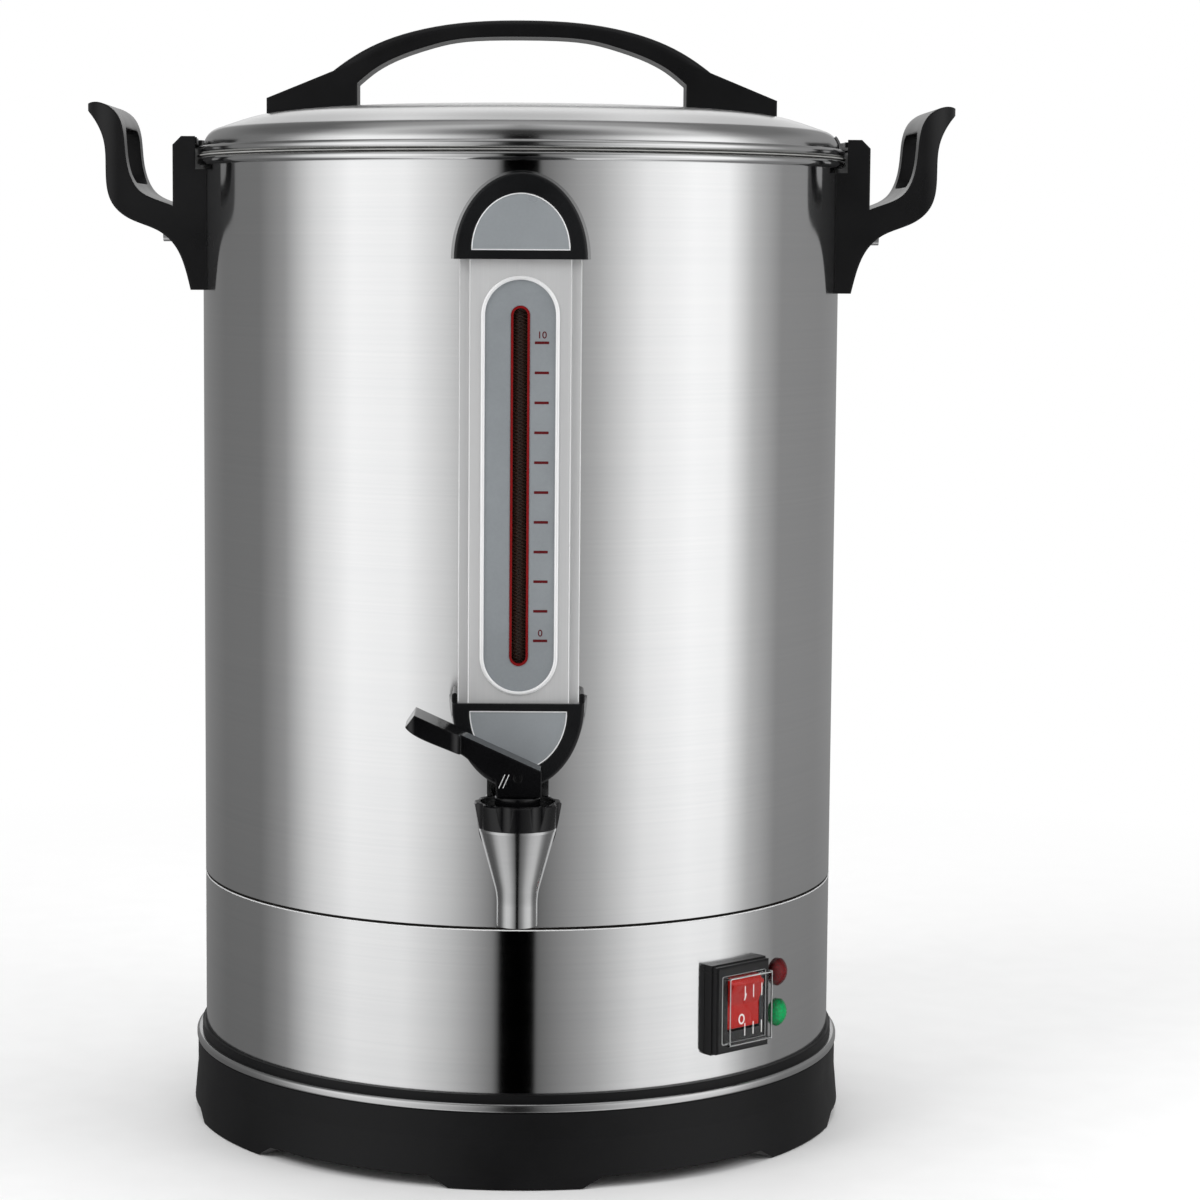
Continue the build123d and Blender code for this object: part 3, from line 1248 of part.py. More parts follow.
# at the rocker's pivot: local x is up, local y is outwards
PIVOT_PLANE = Plane(
    origin=SWITCH_PLANE.offset(BEZEL_FRONT - ROCKER_PIVOT_DEPTH).origin + (0, 0, ROCKER_RISE),
    x_dir=(0, 0, 1),
    z_dir=SWITCH_PLANE.x_dir,
)
ROCKER_PLANE = Plane(
    origin=PIVOT_PLANE.origin,
    x_dir=PIVOT_PLANE.x_dir * cos(radians(ROCKER_TILT)) + PIVOT_PLANE.y_dir * sin(radians(ROCKER_TILT)),
    z_dir=PIVOT_PLANE.z_dir,
)
BEZEL_ROOT = -4.0  # where the block starts before the barrel is cut out of it
with BuildPart() as switch_bezel:
    with BuildSketch(SWITCH_PLANE.offset(BEZEL_ROOT)):
        Rectangle(BEZEL_W + 2 * BEZEL_FLANGE, BEZEL_H + 2 * BEZEL_FLANGE)
    extrude(amount=BEZEL_FLANGE_T - BEZEL_ROOT)
    with BuildSketch(SWITCH_PLANE.offset(BEZEL_FLANGE_T)):
        Rectangle(BEZEL_W, BEZEL_H)
    extrude(amount=BEZEL_FRONT - BEZEL_FLANGE_T)
    front_edges = faces().sort_by(SWITCH_OUT)[-1].edges()
    chamfer(front_edges, 0.8)
    with BuildSketch(SWITCH_PLANE.offset(BEZEL_FRONT)):
        with Locations((0, ROCKER_RISE)):
            Rectangle(ROCKER_W + 2 * GAP, ROCKER_H + 2 * GAP)
    extrude(amount=BEZEL_ROOT - BEZEL_FRONT, mode=Mode.SUBTRACT)
    groove_w = SPLASH_WALL + 2 * FIT
    with BuildSketch(SWITCH_PLANE.offset(BEZEL_FRONT)):
        Rectangle(SPLASH_W + 2 * FIT, SPLASH_H + 2 * FIT)
        Rectangle(SPLASH_W + 2 * FIT - 2 * groove_w, SPLASH_H + 2 * FIT - 2 * groove_w, mode=Mode.SUBTRACT)
    extrude(amount=-SPLASH_WALL, mode=Mode.SUBTRACT)
    with BuildSketch(PIVOT_PLANE):
        Circle(PIN_R + RUN)
    extrude(amount=ROCKER_W / 2 + 2.5, both=True, mode=Mode.SUBTRACT)
    cut_barrel(FIT)

with BuildPart() as splash_cover:
    with BuildSketch(SWITCH_PLANE.offset(BEZEL_FRONT - SPLASH_WALL + FIT)):
        Rectangle(SPLASH_W, SPLASH_H)
    extrude(amount=SPLASH_PROUD + SPLASH_WALL)
    outer_edges = faces().sort_by(SWITCH_OUT)[-1].edges()
    chamfer(outer_edges, 0.8)
    with BuildSketch(SWITCH_PLANE.offset(BEZEL_FRONT - SPLASH_WALL)):
        Rectangle(SPLASH_W - 2 * SPLASH_WALL, SPLASH_H - 2 * SPLASH_WALL)
    extrude(amount=SPLASH_PROUD, mode=Mode.SUBTRACT)

with BuildPart() as switch_rocker:
    valley_reach = sqrt(ROCKER_SWING_R**2 - ROCKER_T**2)
    crest = ROCKER_T + valley_reach * sin(radians(ROCKER_TILT))
    crest_reach = sqrt(ROCKER_SWING_R**2 - crest**2)
    foot_reach = sqrt(ROCKER_SWING_R**2 - ROCKER_FOOT**2)
    with BuildSketch(ROCKER_PLANE):
        with BuildLine():
            ThreePointArc((foot_reach, -ROCKER_FOOT), (ROCKER_SWING_R, 0), (crest_reach, crest))
            Polyline((crest_reach, crest), (0, ROCKER_T), (-crest_reach, crest))
            ThreePointArc((-crest_reach, crest), (-ROCKER_SWING_R, 0), (-foot_reach, -ROCKER_FOOT))
            Line((-foot_reach, -ROCKER_FOOT), (foot_reach, -ROCKER_FOOT))
        make_face()
    extrude(amount=ROCKER_W / 2, both=True)
    with BuildSketch(PIVOT_PLANE):
        Circle(PIN_R)
    extrude(amount=ROCKER_W / 2 + 2, both=True)

with BuildPart() as switch_body:
    with BuildSketch(SWITCH_PLANE.offset(BODY_FRONT)):
        Rectangle(SWITCH_BODY_W, SWITCH_BODY_H)
    extrude(amount=-SWITCH_BODY_DEPTH)
    with BuildSketch(SWITCH_PLANE.offset(BODY_FRONT - SWITCH_BODY_DEPTH)):
        with GridLocations(SWITCH_BODY_W / 2, SWITCH_BODY_H / 2, 2, BLADE_COUNT // 2):
            Rectangle(0.8, 6.3)
    extrude(amount=-8)


def lamp(height):
    """Indicator lamp: a dome outside the skirt on a stem that goes through it."""
    side_plane = Plane(LAMP_PLANE.origin + (0, 0, height), x_dir=(0, 0, 1), z_dir=LAMP_PLANE.x_dir)
    dome_h = LAMP_DOME - LAMP_RIM
    dome_r = (LAMP_R**2 + dome_h**2) / (2 * dome_h)
    dome_angle = degrees(asin(LAMP_R / dome_r))
    with BuildPart() as body:
        with BuildSketch(side_plane):
            with BuildLine():
                dome = CenterArc((0, LAMP_DOME - dome_r), dome_r, 90 - dome_angle, dome_angle)
                Polyline(
                    dome @ 1,
                    (0, -LAMP_STEM),
                    (LAMP_STEM_R, -LAMP_STEM),
                    (LAMP_STEM_R, FIT),
                    (LAMP_R, FIT),
                    dome @ 0,
                )
            make_face()
        revolve(axis=Axis(side_plane.origin, LAMP_PLANE.z_dir))
    return body.part


with BuildPart() as lamp_red:
    add(lamp(LAMP_PITCH / 2))

with BuildPart() as lamp_green:
    add(lamp(-LAMP_PITCH / 2))

# ================================================================ mains inlet
CONTACTS = ((-CONTACT_PITCH, -2), (0, 2), (CONTACT_PITCH, -2))
with BuildPart() as inlet_socket:
    with BuildSketch(INLET_PLANE.offset(-4)):
        RectangleRounded(INLET_FLANGE_W, INLET_FLANGE_H, 4)
    extrude(amount=INLET_PROUD + 4)
    cut_barrel(FIT)
    with BuildSketch(INLET_PLANE.offset(-INLET_BODY_DEPTH)):
        Rectangle(INLET_BODY_W, INLET_BODY_H)
    extrude(amount=INLET_BODY_DEPTH + 1)
    with BuildSketch(INLET_PLANE.offset(INLET_PROUD)):
        Rectangle(INLET_SOCKET_W, INLET_SOCKET_H)
        top_corners = vertices().group_by(Axis.Z)[-1]
        chamfer(top_corners, 4)
    extrude(amount=-INLET_SOCKET_DEPTH, mode=Mode.SUBTRACT)
    with BuildSketch(INLET_PLANE.offset(INLET_PROUD)):
        with Locations(*CONTACTS):
            Rectangle(CONTACT_W + 2 * FIT, CONTACT_H + 2 * FIT)
        with GridLocations(2 * INLET_SCREW_X, 0, 2, 1):
            Circle(INLET_SCREW_R + FIT)
    extrude(amount=-INLET_BODY_DEPTH - INLET_PROUD, mode=Mode.SUBTRACT)

with BuildPart() as inlet_pins:
    with BuildSketch(INLET_PLANE.offset(INLET_PROUD - 2)):
        with Locations(*CONTACTS):
            Rectangle(CONTACT_W, CONTACT_H)
    extrude(amount=-CONTACT_LENGTH)

with BuildPart() as inlet_screws:
    with BuildSketch(INLET_PLANE.offset(INLET_PROUD)):
        with GridLocations(2 * INLET_SCREW_X, 0, 2, 1):
            Circle(1.8 * INLET_SCREW_R)
    extrude(amount=1.2)
    with BuildSketch(INLET_PLANE.offset(INLET_PROUD)):
        with GridLocations(2 * INLET_SCREW_X, 0, 2, 1):
            Circle(INLET_SCREW_R)
    extrude(amount=-INLET_PROUD - 8)

# ================================================================ percolator
BASKET_SLEEVE_R = PUMP_R + 2 * GAP
FOOT_Z = WELL_FLOOR_Z + GAP
with BuildPart() as pump_tube:
    with BuildSketch(Plane.XY.offset(FOOT_Z + PUMP_FOOT_H - 2)):
        Circle(PUMP_R)
        Circle(PUMP_R - PUMP_WALL, mode=Mode.SUBTRACT)
    extrude(amount=PUMP_TOP_Z - FOOT_Z - PUMP_FOOT_H + 2)
    add(
        section(
            [
                (PUMP_R - 0.5, BASKET_FLOOR_Z - STOP_COLLAR_H),
                (STOP_COLLAR_R, BASKET_FLOOR_Z - STOP_COLLAR_H),
                (STOP_COLLAR_R, BASKET_FLOOR_Z - FIT),
                (PUMP_R - 0.5, BASKET_FLOOR_Z - FIT),
            ]
        )
    )
    revolve(axis=Axis.Z)

with BuildPart() as pump_foot:
    add(
        section(
            [
                (PUMP_FOOT_R, FOOT_Z),
                (PUMP_FOOT_R, FOOT_Z + 3),
                (PUMP_R + 4, FOOT_Z + PUMP_FOOT_H - 3),
                (PUMP_R + FIT + 2, FOOT_Z + PUMP_FOOT_H + 3),
                (PUMP_R + FIT, FOOT_Z + PUMP_FOOT_H + 3),
                (PUMP_R + FIT, FOOT_Z + PUMP_FOOT_H - 4),
                (PUMP_FOOT_R - 1.5, FOOT_Z + 1.5),
                (PUMP_FOOT_R - 1.5, FOOT_Z),
            ]
        )
    )
    revolve(axis=Axis.Z)

with BuildPart() as basket:
    rim_z = BASKET_FLOOR_Z + BASKET_H
    add(
        section(
            [
                (BASKET_SLEEVE_R, BASKET_FLOOR_Z),
                (BASKET_R, BASKET_FLOOR_Z),
                (BASKET_R, rim_z - SHEET),
                (BASKET_R + BASKET_RIM_W, rim_z - SHEET),
                (BASKET_R + BASKET_RIM_W, rim_z),
                (BASKET_R - SHEET, rim_z),
                (BASKET_R - SHEET, BASKET_FLOOR_Z + SHEET),
                (BASKET_SLEEVE_R + SHEET, BASKET_FLOOR_Z + SHEET),
                (BASKET_SLEEVE_R + SHEET, rim_z - 4),
                (BASKET_SLEEVE_R, rim_z - 4),
            ]
        )
    )
    revolve(axis=Axis.Z)
    with BuildSketch(Plane.XY.offset(BASKET_FLOOR_Z - 1)):
        for ring_r in BASKET_RING_RADII:
            with PolarLocations(ring_r, round(2 * pi * ring_r / BASKET_HOLE_PITCH)):
                RegularPolygon(BASKET_HOLE_R, 8)
    extrude(amount=SHEET + 2, mode=Mode.SUBTRACT)

with BuildPart() as basket_lid:
    lid_z = BASKET_FLOOR_Z + BASKET_H + GAP
    dish_r = BASKET_R - SHEET - 2 * GAP
    add(
        section(
            [
                (PUMP_R + 2 * GAP, lid_z),
                (dish_r, lid_z),
                (BASKET_R + BASKET_RIM_W, lid_z),
                (BASKET_R + BASKET_RIM_W, lid_z + 4),
                (BASKET_R + BASKET_RIM_W - BASKET_LID_T, lid_z + 4),
                (BASKET_R + BASKET_RIM_W - BASKET_LID_T, lid_z + BASKET_LID_T),
                (PUMP_R + 2 * GAP, lid_z + BASKET_LID_T),
            ]
        )
    )
    revolve(axis=Axis.Z)
    with BuildSketch(Plane.XY.offset(lid_z - 1)):
        for ring_r in BASKET_RING_RADII[::2]:
            with PolarLocations(ring_r, round(2 * pi * ring_r / BASKET_HOLE_PITCH)):
                RegularPolygon(BASKET_HOLE_R, 8)
    extrude(amount=BASKET_LID_T + 2, mode=Mode.SUBTRACT)

pieces = {
    "base_moulding": base_moulding,
    "bottom_cover": bottom_cover,
    "cover_screws": cover_screws,
    "trim_ring": trim_ring,
    "lower_skirt": lower_skirt,
    "tank": tank,
    "boil_heater": boil_heater,
    "warm_heater": warm_heater,
    "clamp_bar": clamp_bar,
    "clamp_studs": clamp_studs,
    "clamp_nuts": clamp_nuts,
    "thermostat": thermostat,
    "thermal_cutout": thermal_cutout,
    "terminal_block": terminal_block,
    "lid": lid,
    "lid_ears": lid_ears,
    "lid_seal": lid_seal,
    "lid_handle": lid_handle,
    "lid_handle_screws": lid_handle_screws,
    "handle_right": handle_right,
    "handle_left": handle_left,
    "handle_bolts": handle_bolts,
    "handle_nuts": handle_nuts,
    "gauge_column": gauge_column,
    "gauge_scale": gauge_scale,
    "gauge_lining": gauge_lining,
    "gauge_tube": gauge_tube,
    "gauge_seal": gauge_seal,
    "gauge_tee": gauge_tee,
    "gauge_head": gauge_head,
    "gauge_cap_top": gauge_cap_top,
    "gauge_inlay_top": gauge_inlay_top,
    "gauge_cap_bottom": gauge_cap_bottom,
    "gauge_inlay_bottom": gauge_inlay_bottom,
    "gauge_screw": gauge_screw,
    "tap_body": tap_body,
    "tap_shank": tap_shank,
    "shank_gaskets": shank_gaskets,
    "shank_nut": shank_nut,
    "tap_bonnet": tap_bonnet,
    "tap_collar": tap_collar,
    "tap_stem": tap_stem,
    "seat_cup": seat_cup,
    "tap_spring": tap_spring,
    "lever_pin": lever_pin,
    "tap_lever": tap_lever,
    "switch_bezel": switch_bezel,
    "splash_cover": splash_cover,
    "switch_rocker": switch_rocker,
    "switch_body": switch_body,
    "lamp_red": lamp_red,
    "lamp_green": lamp_green,
    "inlet_socket": inlet_socket,
    "inlet_pins": inlet_pins,
    "inlet_screws": inlet_screws,
    "pump_tube": pump_tube,
    "pump_foot": pump_foot,
    "basket": basket,
    "basket_lid": basket_lid,
}
for name, piece in pieces.items():
    piece.part.label = name
    export_step(piece.part, f"parts/{name}.step")
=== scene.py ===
from math import atan2, cos, degrees, pi, radians, sin, sqrt, tan

import bmesh
import bpy
from mathutils import Matrix, Vector


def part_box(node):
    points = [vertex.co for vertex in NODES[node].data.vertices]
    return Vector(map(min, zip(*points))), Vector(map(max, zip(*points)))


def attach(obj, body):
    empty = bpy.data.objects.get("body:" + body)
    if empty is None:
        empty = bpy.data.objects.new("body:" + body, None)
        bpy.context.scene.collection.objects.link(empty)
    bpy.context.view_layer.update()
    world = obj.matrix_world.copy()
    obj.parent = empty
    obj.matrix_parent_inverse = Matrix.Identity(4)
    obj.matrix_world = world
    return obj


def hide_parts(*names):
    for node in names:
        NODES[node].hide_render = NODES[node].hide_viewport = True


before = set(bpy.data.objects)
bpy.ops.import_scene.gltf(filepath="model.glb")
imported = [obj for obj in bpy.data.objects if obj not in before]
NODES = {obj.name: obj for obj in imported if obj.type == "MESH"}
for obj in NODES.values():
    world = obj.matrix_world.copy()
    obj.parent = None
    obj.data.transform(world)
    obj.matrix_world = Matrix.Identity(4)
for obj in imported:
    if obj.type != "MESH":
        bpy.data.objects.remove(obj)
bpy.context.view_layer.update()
MM = 0.001
X, Y, Z = Vector((1, 0, 0)), Vector((0, 1, 0)), Vector((0, 0, 1))

# ---------------------------------------------------------------- node helpers


class Tree:
    """Small helper around a material's or world's nodes."""

    def __init__(self, owner):
        owner.use_nodes = True
        self.nodes = owner.node_tree.nodes
        self.links = owner.node_tree.links
        self.shader = next((n for n in self.nodes if n.type == "BSDF_PRINCIPLED"), None)
        self.output = next(n for n in self.nodes if n.type in ("OUTPUT_MATERIAL", "OUTPUT_WORLD"))

    def add(self, kind, inputs=None, **settings):
        """Shader node; each input is a value or the socket that feeds it."""
        node = self.nodes.new("ShaderNode" + kind)
        for name, value in settings.items():
            setattr(node, name, value)
        for name, value in (inputs or {}).items():
            socket = node.inputs[name]
            if isinstance(value, bpy.types.NodeSocket):
                self.links.new(value, socket)
            else:
                socket.default_value = value
        return node

    def math(self, operation, *values):
        return self.add("Math", dict(enumerate(values)), operation=operation).outputs[0]

    def ramp(self, factor, stops):
        """Colour from a factor, through stops of a place and a colour."""
        node = self.add("ValToRGB", {"Fac": factor})
        elements = node.color_ramp.elements
        while len(elements) < len(stops):
            elements.new(0.5)
        for element, (place, colour) in zip(elements, stops):
            element.position = place
            element.color = colour if len(colour) == 4 else (*colour, 1)
        return node.outputs["Color"]

    def place(self, scale=(1, 1, 1), offset=(0, 0, 0)):
        """The object's own coordinates, stretched and shifted."""
        where = self.add("TexCoord").outputs["Object"]
        return self.add("Mapping", {"Vector": where, "Scale": scale, "Location": offset}).outputs[0]

    def noise(self, vector, scale=1.0, detail=3.0, roughness=0.5):
        inputs = {"Vector": vector, "Scale": scale, "Detail": detail, "Roughness": roughness}
        return self.add("TexNoise", inputs).outputs["Fac"]

    def spread(self, factor, low, high, from_low=0.3, from_high=0.7):
        """A factor between two values, as one between two others."""
        inputs = {"From Min": from_low, "From Max": from_high, "To Min": low, "To Max": high}
        return self.add("MapRange", {"Value": factor, **inputs}).outputs[0]

    def into(self, name, socket):
        """Feeds a socket of the material's shader."""
        self.links.new(socket, self.shader.inputs[name])

    def bump(self, height, strength, distance, edge=0.0):
        """Bump from a height, over edges softened to a radius in metres."""
        inputs = {"Height": height, "Strength": strength, "Distance": distance}
        if edge:
            inputs["Normal"] = self.add("Bevel", {"Radius": edge}, samples=4).outputs[0]
        self.into("Normal", self.add("Bump", inputs).outputs[0])


def grey(value, tint=0.0):
    """Grey colour, bluer for a tint above 0."""
    return (value * (1 - tint), value, value * (1 + tint), 1)


def new_material(name, **values):
    """Material and its tree; each value goes on the shader's socket of that name."""
    material = bpy.data.materials.new(name)
    tree = Tree(material)
    for key, value in values.items():
        tree.shader.inputs[key.replace("_", " ")].default_value = value
    return material, tree


ALONG_GRAIN = 0.25  # quarter turn that lays the smear of a reflection across the urn's rings


def steel(name, grain, base, rough, streak_tint=0.05, rotation=ALONG_GRAIN, anisotropy=0.8, bump=0.05,
          edge=0.0, metal=1.0):
    """Brushed or turned steel. The grain is the mapping scale of its streaks: large across, small along."""
    material, tree = new_material(name, Metallic=metal, Anisotropic=anisotropy,
                                  Anisotropic_Rotation=rotation)
    fine = tree.noise(tree.place(grain), 1.0, 4.0, 0.6)
    broad = tree.noise(tree.place([0.08 * g for g in grain], (3, 1, 2)), 1.0, 2.0)
    cloud = tree.noise(tree.place((9, 9, 9)), 1.0, 3.0)
    both = tree.math("ADD", tree.math("MULTIPLY", fine, 0.6), tree.math("MULTIPLY", broad, 0.4))
    low, high = grey(base * (1 - streak_tint), 0.006), grey(min(base * (1 + streak_tint), 1), 0.002)
    tree.into("Base Color", tree.ramp(both, ((0.34, low), (0.66, high))))
    uneven = tree.math("ADD", both, tree.math("MULTIPLY", cloud, 0.3))
    tree.into("Roughness", tree.spread(uneven, rough * 0.86, rough * 1.16, 0.4, 0.9))
    tree.into("Tangent", tree.add("Tangent", direction_type="RADIAL", axis="Z").outputs[0])
    tree.bump(fine, bump, 0.0002, edge)
    return material


def lid_steel():
    """Steel brushed in rings, as a spun lid is."""
    fine_scale, drift_scale = 900.0, 6.0
    material, tree = new_material("lid_steel", Metallic=1.0, Anisotropic=0.7,
                                  Anisotropic_Rotation=ALONG_GRAIN)
    x, y, z = tree.add("SeparateXYZ", {"Vector": tree.add("TexCoord").outputs["Object"]}).outputs
    across = tree.math("SQRT", tree.math("ADD", tree.math("POWER", x, 2.0), tree.math("POWER", y, 2.0)))
    drift = tree.math("MULTIPLY", y, drift_scale)
    rings = tree.add("CombineXYZ", {
        "X": tree.math("MULTIPLY", across, fine_scale),
        "Y": tree.math("MULTIPLY", x, drift_scale),
        "Z": tree.math("ADD", drift, tree.math("MULTIPLY", z, fine_scale)),
    }).outputs[0]
    fine = tree.noise(rings, 1.0, 4.0, 0.6)
    cloud = tree.noise(tree.place((9, 9, 9)), 1.0, 3.0)
    tree.into("Base Color", tree.ramp(fine, ((0.34, grey(0.83, 0.003)), (0.66, grey(0.86, 0.002)))))
    uneven = tree.math("ADD", fine, tree.math("MULTIPLY", cloud, 0.4))
    tree.into("Roughness", tree.spread(uneven, 0.15, 0.20, 0.5, 0.95))
    tree.into("Tangent", tree.add("Tangent", direction_type="RADIAL", axis="Z").outputs[0])
    tree.bump(fine, 0.012, 0.0002)
    return material


def plastic(name, colour, rough, grain=1800.0, grain_strength=0.12, edge=0.0006, mottling=0.25, **values):
    """Moulded plastic: fine surface grain, slightly uneven gloss, softened edges."""
    material, tree = new_material(name, **values)
    fine = tree.noise(tree.place(), grain, 2.0, 0.5)
    cloud = tree.noise(tree.place(offset=(2, 5, 1)), 26.0, 4.0, 0.55)
    low = [c * (1 - mottling) for c in colour[:3]]
    high = [min(c * (1 + mottling), 1) for c in colour[:3]]
    both = tree.math("ADD", tree.math("MULTIPLY", cloud, 0.7), tree.math("MULTIPLY", fine, 0.3))
    tree.into("Base Color", tree.ramp(both, ((0.35, low), (0.65, high))))
    tree.into("Roughness", tree.spread(cloud, rough * 0.85, rough * 1.18))
    tree.bump(fine, grain_strength, 0.0001, edge)
    return material


def clear(name, tint, rough, ior, transmission=1.0):
    """Clear moulding or glass, with faint handling marks in its gloss."""
    material, tree = new_material(name, IOR=ior, Transmission_Weight=transmission)
    cloud = tree.noise(tree.place(offset=(1, 2, 3)), 60.0, 4.0, 0.6)
    tree.into("Base Color", tree.ramp(cloud, ((0.35, [c * 0.97 for c in tint]), (0.65, tint))))
    tree.into("Roughness", tree.spread(cloud, rough * 0.7, rough * 1.5))
    return material


def filled_tube():
    """Gauge tube full of dark coffee, with a slanting ripple along it."""
    pitch_across, pitch_up = 1900.0, 4200.0  # radians per metre
    material, tree = new_material("coffee_tube", IOR=1.47, Transmission_Weight=0.25,
                                  Specular_IOR_Level=0.35)
    x, _, z = tree.add("SeparateXYZ", {"Vector": tree.add("TexCoord").outputs["Object"]}).outputs
    turn = tree.math("MULTIPLY_ADD", x, pitch_across, tree.math("MULTIPLY", z, pitch_up))
    ripple = tree.math("MULTIPLY_ADD", tree.math("SINE", turn), 0.5, 0.5)
    dark, light = (0.034, 0.018, 0.013), (0.072, 0.042, 0.031)
    tree.into("Base Color", tree.ramp(ripple, ((0.1, dark), (0.95, light))))
    tree.into("Roughness", tree.spread(ripple, 0.12, 0.3, 0.0, 1.0))
    tree.bump(ripple, 0.4, 0.0003)
    return material


LAMP_OUT = (0.755, -0.655, 0.0)  # the way the two lamps face


def lamp_lens(name, colour, glow):
    """Coloured lens with a pattern of small cells inside, with painted shade darkening it towards its rim.
    """
    material, tree = new_material(name, Coat_Weight=0.12, Coat_Roughness=0.06, Specular_IOR_Level=0.2,
                                  Emission_Strength=glow)
    pattern = tree.add("TexVoronoi", {"Vector": tree.place(), "Scale": 1100.0}, feature="F1")
    cells = pattern.outputs["Distance"]
    low, high = [c * 0.7 for c in colour], [min(c * 1.25, 1) for c in colour]
    # painted shade: darker where the lens turns away from the way the lamps face
    normal = tree.add("NewGeometry").outputs["Normal"]
    facing = tree.add("VectorMath", {0: normal, 1: LAMP_OUT}, operation="DOT_PRODUCT")
    rim = tree.spread(facing.outputs["Value"], 0.9, 0.0, 0.45, 0.97)
    deep = [c * 0.3 for c in low]
    shade = tree.ramp(tree.math("MULTIPLY_ADD", cells, 0.6, rim), ((0.05, high), (0.5, low), (1.0, deep)))
    tree.into("Base Color", shade)
    tree.into("Emission Color", shade)
    tree.into("Roughness", tree.spread(cells, 0.12, 0.3))
    tree.bump(cells, 0.18, 0.0003)
    return material


# ---------------------------------------------------------------- materials
brushed = steel("barrel_steel", (4, 4, 900), 0.84, 0.115, streak_tint=0.02, anisotropy=0.94, bump=0.008)
turned = steel("turned_steel", (60, 60, 900), 0.56, 0.15, streak_tint=0.03, anisotropy=0.0, bump=0.012)
rolled = steel("rolled_steel", (5, 5, 500), 0.66, 0.2, streak_tint=0.03, anisotropy=0.4, bump=0.01)
bright = steel("bright_steel", (300, 300, 300), 0.78, 0.2, anisotropy=0.2, bump=0.03)
inside_steel = steel("basket_steel", (40, 40, 500), 0.75, 0.32)
zinc = steel("zinc_sheet", (90, 90, 90), 0.55, 0.42, streak_tint=0.22, anisotropy=0.1, bump=0.08)
heater = steel("heater_steel", (120, 120, 400), 0.42, 0.4, streak_tint=0.25, anisotropy=0.2, bump=0.1)
aluminium = steel("satin_aluminium", (1500, 1500, 7), 0.66, 0.42, streak_tint=0.03, rotation=0.0,
                  anisotropy=0.3, bump=0.03, edge=0.0004, metal=0.45)
# painted highlight: a pale finish for thin lines laid along edges where light catches them
painted_highlight = steel("painted_highlight", (400, 400, 60), 0.92, 0.3, streak_tint=0.03, anisotropy=0.0, bump=0.01,
                    metal=0.35)
spun = lid_steel()
satin_black = plastic("satin_black", (0.0065, 0.0065, 0.0070), 0.30, grain_strength=0.06, edge=0.0014,
                      Specular_IOR_Level=0.28)
base_black = plastic("base_black", (0.0055, 0.0055, 0.006), 0.40, grain=1500.0, grain_strength=0.12,
                     edge=0.0010, Specular_IOR_Level=0.2)
bezel_black = plastic("bezel_black", (0.007, 0.007, 0.0075), 0.28, grain_strength=0.04, edge=0.0004,
                      Specular_IOR_Level=0.36)
# painted shade: near-black for the ring that stands for the shadow in the seam
painted_seam_shade = plastic("painted_seam_shade", (0.006, 0.005, 0.004), 0.6, edge=0.0, Specular_IOR_Level=0.1)
cap_black = plastic("cap_black", (0.0075, 0.0078, 0.0085), 0.24, grain_strength=0.03, edge=0.0010,
                    Specular_IOR_Level=0.36)
gloss_black = plastic("gloss_black", (0.0035, 0.0035, 0.0040), 0.15, grain=900.0, grain_strength=0.03,
                      edge=0.0009, Specular_IOR_Level=0.42)
rubber = plastic("silicone_grey", (0.30, 0.30, 0.29), 0.55, grain=900.0, edge=0.0003)
ceramic = plastic("ceramic_white", (0.75, 0.74, 0.70), 0.5, grain=2600.0, edge=0.0005, mottling=0.05)
panel_grey = plastic("panel_grey", (0.33, 0.355, 0.375), 0.34, grain=900.0, grain_strength=0.02,
                     edge=0.0003, mottling=0.05, Metallic=0.35)
inlay_grey = plastic("inlay_grey", (0.355, 0.38, 0.40), 0.32, grain=900.0, grain_strength=0.02,
                     edge=0.0003, mottling=0.05, Metallic=0.35)
gauge_red = plastic("gauge_red", (0.20, 0.0025, 0.0035), 0.30, edge=0.0002, mottling=0.15,
                    Specular_IOR_Level=0.3)
print_red = plastic("print_red", (0.10, 0.003, 0.006), 0.50, edge=0.0, mottling=0.15,
                    Specular_IOR_Level=0.2)
rocker_red = plastic("rocker_red", (0.38, 0.007, 0.004), 0.24, grain=900.0, grain_strength=0.04,
                     edge=0.0006, mottling=0.12, Coat_Weight=0.1, Coat_Roughness=0.1,
                     Specular_IOR_Level=0.2)
mark_white = plastic("mark_white", (0.82, 0.80, 0.78), 0.45, edge=0.0, mottling=0.05)
coffee_tube = filled_tube()
cover_clear = clear("cover_clear", (0.97, 0.97, 0.97), 0.03, 1.11)
# painted highlight: whitish half-clear lines along the clear cover's edges
cover_edge_highlight = clear("cover_edge_highlight", (0.80, 0.82, 0.82), 0.2, 1.4, 0.5)
red_lens = lamp_lens("red_lens", (0.125, 0.003, 0.005), 0.05)
green_lens = lamp_lens("green_lens", (0.001, 0.27, 0.075), 0.25)

BY_SLOT = {
    "brushed_steel": brushed, "bright_steel": bright, "galvanised_sheet": zinc, "heater_metal": heater,
    "white_ceramic": ceramic, "silicone": rubber, "black_plastic": satin_black, "gloss_black": gloss_black,
    "satin_aluminium": aluminium, "grey_plate": panel_grey, "red_plastic": gauge_red,
    "clear_glass": coffee_tube, "clear_cover": cover_clear, "red_lit": rocker_red, "red_lamp": red_lens,
    "green_lamp": green_lens,
}
BY_NODE = {
    "lid": spun, "tap_body": turned, "base_moulding": base_black, "trim_ring": rolled,
    "basket": inside_steel, "basket_lid": inside_steel, "pump_tube": inside_steel,
    "pump_foot": inside_steel, "gauge_inlay_top": inlay_grey, "gauge_inlay_bottom": inlay_grey,
    "gauge_cap_top": cap_black, "gauge_cap_bottom": cap_black, "lever_pin": gloss_black,
    "switch_bezel": bezel_black,
}
for node_name, node in NODES.items():
    slots = node.data.materials
    for i in range(len(slots)):
        slots[i] = BY_NODE.get(node_name) or BY_SLOT[slots[i].name.split(".")[0]]

# ---------------------------------------------------------------- mesh helpers


